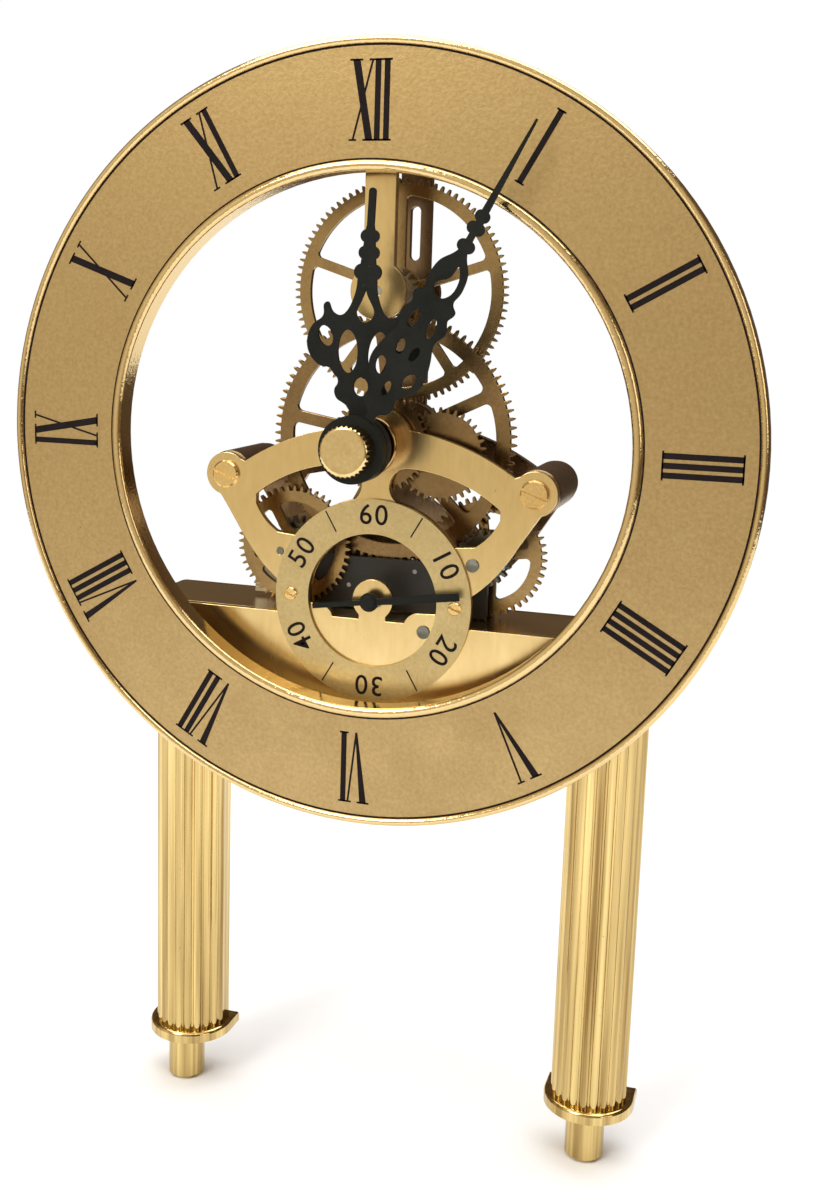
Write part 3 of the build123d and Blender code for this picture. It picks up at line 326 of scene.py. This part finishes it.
@dataclass
class FinishShop:
    """Holds every finish, and dresses the CAD nodes with them."""

    finishes: dict[str, Finish] = field(default_factory=lambda: {finish.name: finish for finish in (
        Finish("dial_brass", (0.51, 0.37, 0.17), (0.40, 0.275, 0.118), 1.0, (0.36, 0.46),
               patch_scale=70.0, grain_scale=1400.0, grain_share=0.62, bump=0.16, band=(0.0532, 0.0733)),
        Finish("seconds_brass", (0.60, 0.47, 0.23), (0.48, 0.365, 0.165), 1.0, (0.34, 0.44),
               patch_scale=120.0, grain_scale=1500.0, grain_share=0.6, bump=0.14),
        Finish("plate_brass", (0.78, 0.59, 0.28), (0.68, 0.49, 0.21), 1.0, (0.18, 0.28),
               patch_scale=90.0, grain_scale=900.0, bump=0.05, stretch=(1.0, 1.0, 0.3)),
        # Housing front: a darker copy of the plate brass. The darker tone is painted shade that holds back the
        # floor's bright reflection.
        Finish("fascia_brass_painted_shade", (0.66, 0.49, 0.215), (0.55, 0.39, 0.16), 1.0, (0.18, 0.28),
               patch_scale=60.0, grain_scale=900.0, bump=0.05, stretch=(0.4, 1.0, 1.0)),
        # Columns: bright and very dark streaks drawn out along the columns' length. Beyond some tone variation,
        # these are painted highlights and painted shade along the reeds.
        Finish("column_brass_painted_highlight_streaks", (0.88, 0.68, 0.29), (0.26, 0.155, 0.05), 1.0, (0.06, 0.13),
               patch_scale=420.0, grain_scale=1100.0, grain_share=0.3, bump=0.03, stretch=(1.0, 1.0, 0.02)),
        Finish("wheel_brass", (0.44, 0.305, 0.14), (0.32, 0.21, 0.088), 1.0, (0.18, 0.30),
               patch_scale=110.0, grain_scale=1200.0, bump=0.06),
        # Centre wheel and nearby parts: a darker copy of the wheel brass. The extra darkness is painted shade and
        # painted dark reflection.
        Finish("centre_brass_painted_shade", (0.34, 0.225, 0.105), (0.21, 0.132, 0.058), 1.0, (0.18, 0.30),
               patch_scale=90.0, grain_scale=1200.0, bump=0.06),
        # Rear plate, rear strip, pillars, spacer and top stud: a dark copy of the brass. The darkness is painted
        # shade, because these parts stand behind the front parts.
        Finish("rear_brass_painted_shade", (0.34, 0.235, 0.135), (0.20, 0.130, 0.072), 1.0, (0.20, 0.34),
               patch_scale=120.0, grain_scale=1100.0, bump=0.06, stretch=(1.0, 1.0, 0.25)),
        Finish("screw_brass", (0.90, 0.66, 0.30), (0.72, 0.48, 0.18), 1.0, (0.14, 0.26),
               patch_scale=200.0, grain_scale=2000.0, bump=0.08),
        Finish("hand_black", (0.006, 0.007, 0.006), (0.014, 0.015, 0.013), 0.0, (0.42, 0.56),
               patch_scale=160.0, grain_scale=2500.0, bump=0.10, speck=(0.05, 0.05, 0.045), specular=0.12),
        Finish("dial_ink", (0.007, 0.005, 0.006), (0.016, 0.011, 0.012), 0.0, (0.55, 0.68),
               patch_scale=200.0, grain_scale=2600.0, bump=0.08, speck=(0.05, 0.04, 0.03), specular=0.08),
        Finish("arbor_steel", (0.56, 0.56, 0.54), (0.38, 0.38, 0.37), 1.0, (0.22, 0.36),
               patch_scale=160.0, grain_scale=2400.0, bump=0.08, speck=(0.20, 0.18, 0.15)),
        Finish("pin_steel", (0.24, 0.24, 0.20), (0.15, 0.15, 0.125), 1.0, (0.20, 0.34),
               patch_scale=260.0, grain_scale=2400.0, bump=0.08, speck=(0.40, 0.40, 0.36)),
        Finish("nut_brass", (0.84, 0.66, 0.34), (0.66, 0.48, 0.21), 1.0, (0.10, 0.18),
               patch_scale=260.0, grain_scale=1400.0, bump=0.05),
        Finish("bush_brass", (0.48, 0.30, 0.115), (0.32, 0.185, 0.065), 1.0, (0.10, 0.20),
               patch_scale=200.0, grain_scale=1400.0, bump=0.04),
        Finish("black_plastic", (0.020, 0.018, 0.016), (0.034, 0.031, 0.028), 0.0, (0.38, 0.52),
               patch_scale=120.0, grain_scale=2200.0, bump=0.18, speck=(0.12, 0.11, 0.10)),
        Finish("white_plastic", (0.74, 0.72, 0.66), (0.64, 0.61, 0.54), 0.0, (0.36, 0.48),
               patch_scale=120.0, grain_scale=2200.0, bump=0.06, speck=(0.40, 0.36, 0.28)),
        Finish("coil_copper", (0.72, 0.32, 0.14), (0.48, 0.18, 0.07), 1.0, (0.22, 0.36),
               patch_scale=90.0, grain_scale=900.0, grain_share=0.8, bump=0.35, stretch=(6.0, 1.0, 1.0)),
        Finish("contact_nickel", (0.66, 0.64, 0.58), (0.50, 0.48, 0.42), 1.0, (0.18, 0.30),
               patch_scale=150.0, grain_scale=1800.0, bump=0.05),
        Finish("board_green", (0.03, 0.16, 0.07), (0.02, 0.11, 0.05), 0.0, (0.30, 0.45),
               patch_scale=200.0, grain_scale=1800.0, bump=0.12, coat=0.3),
        Finish("cell_wrap", (0.10, 0.11, 0.12), (0.07, 0.08, 0.09), 0.2, (0.25, 0.35),
               patch_scale=80.0, grain_scale=1600.0, bump=0.05, coat=0.4),
        Finish("magnet_dark", (0.12, 0.12, 0.13), (0.07, 0.07, 0.08), 0.8, (0.40, 0.55),
               patch_scale=300.0, grain_scale=2600.0, bump=0.15),
    )})
    materials: dict[str, bpy.types.Material] = field(default_factory=dict)

    GROUPS: ClassVar[dict[str, tuple[str, ...]]] = {
        "dial_brass": ("chapter_ring",),
        "seconds_brass": ("seconds_dial",),
        "plate_brass": ("front_plate", "top_strip"),
        # The housing takes the darker copy of the plate brass, as painted shade.
        "fascia_brass_painted_shade": ("housing",),
        "nut_brass": ("hand_nut",),
        "bush_brass": ("centre_bush",),
        "pin_steel": ("motion_stud", "left_arbor", "right_arbor"),
        # Columns and feet carry painted highlight and shade streaks.
        "column_brass_painted_highlight_streaks": ("column_left", "column_right", "foot_left", "foot_right"),
        "wheel_brass": ("top_wheel", "left_wheel", "right_wheel", "setting_knob", "housing_cover"),
        # These parts take the darker wheel brass, as painted shade.
        "centre_brass_painted_shade": ("centre_wheel", "third_wheel", "hour_wheel", "motion_wheel", "ring_studs_low"),
        # The rear parts take the dark brass, as painted shade.
        "rear_brass_painted_shade": ("rear_plate", "rear_strip", "pillar_left", "pillar_right", "strip_spacer", "ring_stud_top"),
    }

    def build(self) -> None:
        """Makes the shared groups and every material."""
        tone, specks = mottle_group(), speck_group()
        for finish in self.finishes.values():
            self.materials[finish.name] = finish.build(tone, specks)

    def dress(self) -> None:
        """Gives each CAD node its finish, by group or else by the record's slot."""
        chosen = {node: name for name, nodes in self.GROUPS.items() for node in nodes}
        for part in frame["record"]["subparts"]:
            node = part["node"]
            name = chosen.get(node, part["material_slot"])
            piece = bpy.data.objects[node]
            piece.data.materials.clear()
            piece.data.materials.append(self.materials[name])
            LOG.info("%s takes %s", node, name)


def finish_piece(name: str, mesh: bmesh.types.BMesh, material: bpy.types.Material, body: str) -> bpy.types.Object:
    """Turns a bmesh into a piece at the origin that rides on a body.

    Args:
        name: Name of the piece.
        mesh: Its shape, in metres in the clock's frame.
        material: Its finish.
        body: Body that it rides on.

    Returns:
        The new object.
    """
    bmesh.ops.recalc_face_normals(mesh, faces=mesh.faces[:])
    data = bpy.data.meshes.new(name)
    mesh.to_mesh(data)
    mesh.free()
    data.materials.append(material)
    piece = bpy.data.objects.new(name, data)
    bpy.context.scene.collection.objects.link(piece)
    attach(piece, body)
    LOG.info("%s: %d faces", name, len(data.polygons))
    return piece


@dataclass
class EasedEdges:
    """Broken edges on the flat brass pieces, as polishing leaves them."""

    ease: float = 0.11
    crease: float = 40.0
    segments: int = 2
    merge_mm: float = 0.001
    flat_within: float = 0.5
    nodes: tuple[str, ...] = ("front_plate", "top_strip", "rear_plate", "rear_strip", "centre_wheel", "top_wheel",
                              "housing")

    def build(self) -> None:
        """Stands an eased copy in for each flat piece."""
        bodies = frame["record"]["behaviour"]["bodies"]
        for node in self.nodes:
            source = bpy.data.objects[node]
            mesh = bmesh.new()
            mesh.from_mesh(source.data)
            bmesh.ops.remove_doubles(mesh, verts=mesh.verts[:], dist=self.merge_mm * MM)
            bmesh.ops.dissolve_limit(mesh, angle_limit=radians(self.flat_within), verts=mesh.verts[:],
                                     edges=mesh.edges[:])
            body = next(name for name, members in bodies.items() if node in members)
            piece = finish_piece(f"{node}_eased", mesh, source.data.materials[0], body)
            bevel = piece.modifiers.new("ease", "BEVEL")
            bevel.width, bevel.segments, bevel.profile = self.ease * MM, self.segments, 0.5
            bevel.limit_method, bevel.angle_limit = "ANGLE", radians(self.crease)
            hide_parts(node)


@dataclass
class DialFrame:
    """Places shapes on faces parallel to the dial, by depth behind the dial's face."""

    bead_rise: float = 0.7
    centre: Vector = field(init=False)

    def __post_init__(self) -> None:
        """Finds the centre of the dial's face from the chapter ring."""
        low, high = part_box("chapter_ring")
        self.centre = Vector(((low[0] + high[0]) / 2, low[1] + self.bead_rise * MM, (low[2] + high[2]) / 2))

    def matrix(self, depth: float, place: Place = (0.0, 0.0), turn: float = 0.0, reach: float = 0.0) -> Matrix:
        """Gives the matrix from a flat drawing in millimetres to its place.

        Args:
            depth: Depth behind the dial's face, in millimetres.
            place: Pivot of the turn, right and up from the dial's centre, in millimetres.
            turn: Clockwise turn, in degrees.
            reach: Distance outwards from the pivot along the turned direction, in millimetres.

        Returns:
            Matrix that takes drawing right, up and out to the clock's frame.
        """
        angle = radians(turn)
        basis = Matrix((
            (cos(angle), sin(angle), 0.0),
            (0.0, 0.0, -1.0),
            (-sin(angle), cos(angle), 0.0),
        ))
        spot = self.centre + Vector((place[0], depth, place[1])) * MM + basis @ Vector((0.0, reach, 0.0)) * MM
        return Matrix.Translation(spot) @ basis.to_4x4() @ Matrix.Scale(MM, 4)


def stroke(mesh: bmesh.types.BMesh, low: Place, high: Place, width: float, height: float = 0.05,
           foot: float = 1.0) -> None:
    """Adds one flat-ended stroke between two points of a drawing.

    Args:
        mesh: Drawing, in millimetres.
        low: Middle of the stroke's lower end.
        high: Middle of the stroke's upper end.
        width: Width across, measured level.
        height: Thickness out of the drawing.
        foot: Width at the lower end as a share of the width.
    """
    matrix = Matrix((
        (width, high[0] - low[0], 0.0, (low[0] + high[0]) / 2),
        (0.0, high[1] - low[1], 0.0, (low[1] + high[1]) / 2),
        (0.0, 0.0, height, 0.0),
        (0.0, 0.0, 0.0, 1.0),
    ))
    made = bmesh.ops.create_cube(mesh, size=1.0, matrix=matrix)["verts"]
    lower = [vert for vert in made if abs(vert.co.y - low[1]) < abs(vert.co.y - high[1])]
    pivot = Matrix.Translation((-low[0], 0.0, 0.0))
    bmesh.ops.scale(mesh, vec=(foot, 1.0, 1.0), space=pivot, verts=lower)


@dataclass
class RomanNumerals:
    """Printed Roman numerals, tops outwards, with heavy and hair strokes and slab serifs."""

    dial: DialFrame
    inner_r: float = 56.4
    outer_r: float = 70.9
    heavy: float = 1.1
    slant_heavy: float = 1.4
    hair: float = 0.38
    hair_rise: float = 0.07
    serif: float = 0.34
    serif_over: float = 0.55
    step: float = 1.75
    letter_w: float = 4.1
    letter_gap: float = 0.25
    v_foot_place: float = 0.58
    v_foot_width: float = 0.3
    upright_over: float = 0.7
    printed: float = 0.012
    texts: tuple[str, ...] = ("XII", "I", "II", "III", "IIII", "V", "VI", "VII", "VIII", "IX", "X", "XI")

    def advance(self, letter: str) -> float:
        """Gives how far along the next letter starts."""
        return self.step if letter == "I" else self.letter_w + self.letter_gap

    def draw_letter(self, mesh: bmesh.types.BMesh, letter: str, left: float) -> None:
        """Draws one letter between the numeral's foot and top.

        Args:
            mesh: Drawing, in millimetres, with its foot at zero.
            letter: I, V or X.
            left: Left side of the letter's strokes.
        """
        top = self.outer_r - self.inner_r
        if letter == "I":
            mid = left + self.heavy / 2
            stroke(mesh, (mid, 0.0), (mid, top), self.heavy)
            ends = [(mid, 0.0), (mid, top)]
            widths = [self.heavy] * 2
        else:
            start, end = left + self.slant_heavy / 2, left + self.letter_w - self.hair / 2
            if letter == "V":
                foot = left + self.letter_w * self.v_foot_place
                stroke(mesh, (foot, 0.0), (start, top), self.slant_heavy, foot=self.v_foot_width)
                stroke(mesh, (foot, 0.0), (end, top), self.hair, self.hair_rise)
                ends = [(start, top), (end, top)]
                widths = [self.slant_heavy, self.hair]
            else:
                foot = left + self.letter_w - self.slant_heavy / 2
                stroke(mesh, (foot, 0.0), (start, top), self.slant_heavy)
                stroke(mesh, (left + self.hair / 2, 0.0), (end, top), self.hair, self.hair_rise)
                ends = [(foot, 0.0), (start, top), (left + self.hair / 2, 0.0), (end, top)]
                widths = [self.slant_heavy, self.slant_heavy, self.hair, self.hair]
        for (x, z), width in zip(ends, widths):
            half = width / 2 + self.serif_over * (self.upright_over if letter == "I" else 1.0)
            edge = z + self.serif / 2 if z == 0.0 else z - self.serif / 2
            stroke(mesh, (x, edge - self.serif / 2), (x, edge + self.serif / 2), half * 2)

    def build(self, material: bpy.types.Material) -> None:
        """Makes the twelve numerals as one piece each.

        Args:
            material: Ink finish.
        """
        for hour, text in enumerate(self.texts):
            drawing = bmesh.new()
            width = sum(self.advance(letter) for letter in text[:-1])
            width += self.heavy if text[-1] == "I" else self.letter_w
            left = -width / 2
            for letter in text:
                self.draw_letter(drawing, letter, left)
                left += self.advance(letter)
            drawing.transform(self.dial.matrix(-self.printed, turn=hour * 30.0, reach=self.inner_r))
            finish_piece(f"numeral_{hour or 12}", drawing, material, "frame")


@dataclass
class DialLines:
    """Fine dark lines round the chapter ring's printed band."""

    dial: DialFrame
    radii: tuple[float, ...] = (73.35, 53.25)
    width: float = 0.30
    rise: float = 0.02
    steps: int = 240

    def build(self, material: bpy.types.Material) -> None:
        """Spins each line's small square section into a full circle.

        Args:
            material: Ink finish.
        """
        for number, radius in enumerate(self.radii):
            mesh = bmesh.new()
            bmesh.ops.create_grid(mesh, x_segments=1, y_segments=1, size=0.5)
            for vert in mesh.verts:
                vert.co = Vector((radius + vert.co.x * self.width, 0.0, vert.co.y * self.rise * 2))
            bmesh.ops.delete(mesh, geom=mesh.faces[:], context="FACES_ONLY")
            bmesh.ops.spin(mesh, geom=mesh.verts[:] + mesh.edges[:], axis=(0, 0, 1), cent=(0, 0, 0),
                           steps=self.steps, angle=2 * pi, use_merge=True)
            mesh.transform(self.dial.matrix(0.0))
            finish_piece(f"dial_line_{number + 1}", mesh, material, "frame")


@dataclass
class SecondsPrinting:
    """Tens of seconds and the ticks between them, printed on the seconds dial."""

    dial: DialFrame
    centre: Place = (0.0, -31.5)
    depth: float = 8.3
    number_r: float = 17.2
    number_size: float = 5.8
    number_spread: float = 1.12
    number_weight: float = 0.035
    tick_inner_r: float = 15.5
    tick_outer_r: float = 20.2
    tick_w: float = 0.28
    printed: float = 0.02
    curve_steps: int = 4
    merge: float = 0.001
    tick_turns: tuple[float, ...] = (30.0, 150.0, 210.0, 330.0)

    def build(self, material: bpy.types.Material) -> None:
        """Makes the numbers and ticks.

        Args:
            material: Ink finish.
        """
        for ten in range(6):
            label = str(ten * 10 or 60)
            words = bpy.data.curves.new(f"seconds_{label}", "FONT")
            words.body, words.size, words.extrude = label, self.number_size, self.printed
            words.align_x, words.align_y = "CENTER", "CENTER"
            words.space_character, words.offset = self.number_spread, self.number_weight
            words.resolution_u = self.curve_steps
            holder = bpy.data.objects.new(f"seconds_words_{label}", words)
            bpy.context.scene.collection.objects.link(holder)
            flat = bpy.data.meshes.new_from_object(holder)
            bpy.data.objects.remove(holder)
            mesh = bmesh.new()
            mesh.from_mesh(flat)
            bmesh.ops.remove_doubles(mesh, verts=mesh.verts[:], dist=self.merge)
            mesh.transform(self.dial.matrix(self.depth, self.centre, ten * 60.0, self.number_r))
            finish_piece(f"seconds_number_{label}", mesh, material, "frame")
        for turn in self.tick_turns:
            tick = bmesh.new()
            stroke(tick, (0.0, self.tick_inner_r), (0.0, self.tick_outer_r), self.tick_w, self.printed * 2)
            tick.transform(self.dial.matrix(self.depth, self.centre, turn))
            finish_piece(f"seconds_tick_{turn:.0f}", tick, material, "frame")


@dataclass
class PinEnds:
    """Steel pin ends set in the front plate, each turned with a rounded edge and a centre dimple."""

    dial: DialFrame
    depth: float = 9.0
    radius: float = 1.35
    rise: float = 0.35
    edge_share: float = 0.45
    dimple_r: float = 0.35
    dimple_share: float = 0.35
    segments: int = 40
    places: tuple[Place, ...] = ((20.3, -22.8), (10.8, -37.0))

    def build(self, material: bpy.types.Material) -> None:
        """Turns each pin end.

        Args:
            material: Steel finish.
        """
        for number, place in enumerate(self.places):
            mesh = bmesh.new()
            bmesh.ops.create_cone(mesh, cap_ends=True, segments=self.segments, radius1=self.radius,
                                  radius2=self.radius, depth=self.rise * 2)
            edge = self.rise * self.edge_share
            face = max(mesh.faces, key=lambda f: f.calc_center_median().z)
            bmesh.ops.bevel(mesh, geom=list(face.edges), offset=edge, affect="EDGES", segments=3,
                            profile=0.5, material=-1)
            face = max(mesh.faces, key=lambda f: (round(f.calc_center_median().z, 6), f.calc_area()))
            bmesh.ops.inset_region(mesh, faces=[face], thickness=self.radius - edge - self.dimple_r)
            bmesh.ops.translate(mesh, verts=face.verts[:], vec=(0, 0, -self.rise * self.dimple_share))
            mesh.transform(self.dial.matrix(self.depth, place))
            finish_piece(f"pin_end_{number + 1}", mesh, material, "frame")


@dataclass
class SecondsCap:
    """Black cap that covers the seconds arbor's end on the hand's hub."""

    dial: DialFrame
    centre: Place = (0.0, -31.5)
    depth: float = 6.3
    radius: float = 1.75
    top_r: float = 1.25
    rise: float = 0.7
    edge_share: float = 0.4
    segments: int = 48

    def build(self, material: bpy.types.Material) -> None:
        """Turns the cap, with a rounded front edge.

        Args:
            material: Black finish of the hands.
        """
        mesh = bmesh.new()
        bmesh.ops.create_cone(mesh, cap_ends=True, segments=self.segments, radius1=self.radius,
                              radius2=self.top_r, depth=self.rise)
        face = max(mesh.faces, key=lambda f: f.calc_center_median().z)
        bmesh.ops.bevel(mesh, geom=list(face.edges), offset=self.rise * self.edge_share, affect="EDGES",
                        segments=4, profile=0.5, material=-1)
        mesh.transform(self.dial.matrix(self.depth, self.centre))
        finish_piece("seconds_cap", mesh, material, "seconds")


@dataclass(frozen=True)
class Lamp:
    """One square soft light. Its size is the side of the square in metres, its power in watts."""

    name: str
    place: Spot
    aim: Spot
    size: float
    power: float
    tint: Colour

    def build(self) -> None:
        """Adds the light, turned to face its aim."""
        data = bpy.data.lights.new(self.name, "AREA")
        data.size, data.energy, data.color = self.size, self.power, self.tint
        lamp = bpy.data.objects.new(self.name, data)
        lamp.location = self.place
        lamp.rotation_euler = (Vector(self.aim) - Vector(self.place)).to_track_quat("-Z", "Y").to_euler()
        bpy.context.scene.collection.objects.link(lamp)


@dataclass
class Studio:
    """Pale floor, soft lights and the camera.

    Each wall tone stands at the cosine between the direction that a reflection looks in and the window.
    """

    floor_r: float = 0.55
    floor_segments: int = 96
    floor_finish: Finish = Finish(
        "floor_pale", (0.93, 0.94, 0.96), (0.91, 0.92, 0.94), 0.0, (0.7, 0.85),
        patch_scale=2.0, grain_scale=60.0, bump=0.0, speck=(0.88, 0.88, 0.87),
    )
    lamps: tuple[Lamp, ...] = (
        Lamp("key", (-0.35, -0.75, 0.75), (0.0, 0.0, 0.13), 0.35, 4.0, (1.0, 0.97, 0.92)),
        Lamp("fill", (0.85, -0.55, 0.35), (0.0, 0.0, 0.11), 0.50, 1.2, (1.0, 0.96, 0.90)),
        Lamp("top", (0.0, 0.1, 1.5), (0.0, 0.1, 0.0), 2.0, 36.0, (0.96, 0.98, 1.0)),
    )
    window: Spot = (-0.5, -0.8, 0.25)
    walls: tuple[tuple[float, Colour], ...] = (
        (-1.0, (0.10, 0.07, 0.05)),
        (0.0, (0.15, 0.10, 0.065)),
        (0.45, (0.28, 0.21, 0.14)),
        (0.75, (0.62, 0.54, 0.42)),
        (0.88, (0.72, 0.64, 0.50)),
        (1.0, (0.88, 0.80, 0.66)),
    )
    camera_at: Spot = (0.08447, -0.27383, 0.16665)
    yaw: float = 17.513
    pitch: float = 9.772
    roll: float = 1.643
    lens: float = 41.97
    sensor_w: float = 36.0
    shift: Place = (0.0211, -0.0452)
    clip: Place = (0.01, 20.0)

    def world(self) -> None:
        """Makes a white surround that shows darker, warmer walls only in reflections."""
        world = bpy.data.worlds.new("studio")
        bpy.context.scene.world = world
        world.use_nodes = True
        tree = world.node_tree
        tree.nodes.clear()
        coords = add_node(tree, Node.COORDS)
        tone = add_node(tree, Node.RAMP)
        path = add_node(tree, Node.LIGHT_PATH)
        room = add_node(tree, Node.BACKGROUND)
        white = add_node(tree, Node.BACKGROUND, Color=(1.0, 1.0, 1.0, 1.0))
        mix = add_node(tree, Node.SHADER_MIX)
        output = add_node(tree, Node.WORLD_OUTPUT)
        facing = add_node(tree, Node.VECTOR, operation="DOT_PRODUCT")
        facing.inputs[1].default_value = Vector(self.window).normalized()
        span = add_node(tree, Node.RANGE, From_Min=-1.0, From_Max=1.0)
        ramp = tone.color_ramp
        ramp.elements[0].position, ramp.elements[0].color = 0.0, (*self.walls[0][1], 1.0)
        ramp.elements[1].position, ramp.elements[1].color = 1.0, (*self.walls[-1][1], 1.0)
        for position, colour in self.walls[1:-1]:
            ramp.elements.new((position + 1) / 2).color = (*colour, 1.0)
        tree.links.new(coords.outputs["Generated"], facing.inputs[0])
        tree.links.new(facing.outputs["Value"], span.inputs["Value"])
        tree.links.new(span.outputs["Result"], tone.inputs["Fac"])
        tree.links.new(tone.outputs["Color"], room.inputs["Color"])
        tree.links.new(path.outputs["Is Camera Ray"], mix.inputs["Fac"])
        tree.links.new(room.outputs["Background"], mix.inputs[1])
        tree.links.new(white.outputs["Background"], mix.inputs[2])
        tree.links.new(mix.outputs["Shader"], output.inputs["Surface"])

    def floor(self) -> None:
        """Lays the round pale floor under the spigots."""
        low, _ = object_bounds()
        mesh = bmesh.new()
        bmesh.ops.create_circle(mesh, cap_ends=True, segments=self.floor_segments, radius=self.floor_r,
                                matrix=Matrix.Translation((0.0, 0.0, low[2])))
        data = bpy.data.meshes.new("floor")
        mesh.to_mesh(data)
        mesh.free()
        groups = bpy.data.node_groups
        data.materials.append(self.floor_finish.build(groups["Tone and grain"], groups["Specks"]))
        floor = bpy.data.objects.new("floor", data)
        bpy.context.scene.collection.objects.link(floor)
        floor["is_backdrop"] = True

    def camera(self) -> None:
        """Sets the camera: level and facing the dial, then turned by yaw, pitch and roll."""
        level = Matrix(((1, 0, 0), (0, 0, -1), (0, 1, 0)))
        lens_side = Matrix(((1, 0, 0), (0, -1, 0), (0, 0, -1)))
        turned = (Matrix.Rotation(radians(self.roll), 3, "Z") @ Matrix.Rotation(radians(self.pitch), 3, "X")
                  @ Matrix.Rotation(radians(self.yaw), 3, "Y") @ level)
        facing = turned.transposed() @ lens_side
        data = bpy.data.cameras.new("camera")
        data.lens, data.sensor_width = self.lens, self.sensor_w
        data.shift_x, data.shift_y = self.shift
        data.clip_start, data.clip_end = self.clip
        camera = bpy.data.objects.new("camera", data)
        camera.matrix_world = Matrix.Translation(self.camera_at) @ facing.to_4x4()
        bpy.context.scene.collection.objects.link(camera)
        bpy.context.scene.camera = camera

    def build(self) -> None:
        """Makes the whole studio."""
        self.world()
        self.floor()
        for lamp in self.lamps:
            lamp.build()
        self.camera()
        bpy.context.scene.view_settings.view_transform = "Standard"


def main() -> None:
    """Builds the clock's looks and the studio."""
    logging.basicConfig(level=logging.INFO, format="%(message)s")
    shop = FinishShop()
    shop.build()
    shop.dress()
    EasedEdges().build()
    dial = DialFrame()
    ink = shop.materials["dial_ink"]
    RomanNumerals(dial).build(ink)
    DialLines(dial).build(ink)
    SecondsPrinting(dial).build(ink)
    PinEnds(dial).build(shop.materials["pin_steel"])
    SecondsCap(dial).build(shop.materials["hand_black"])
    Studio().build()


if __name__ == "__main__":
    main()
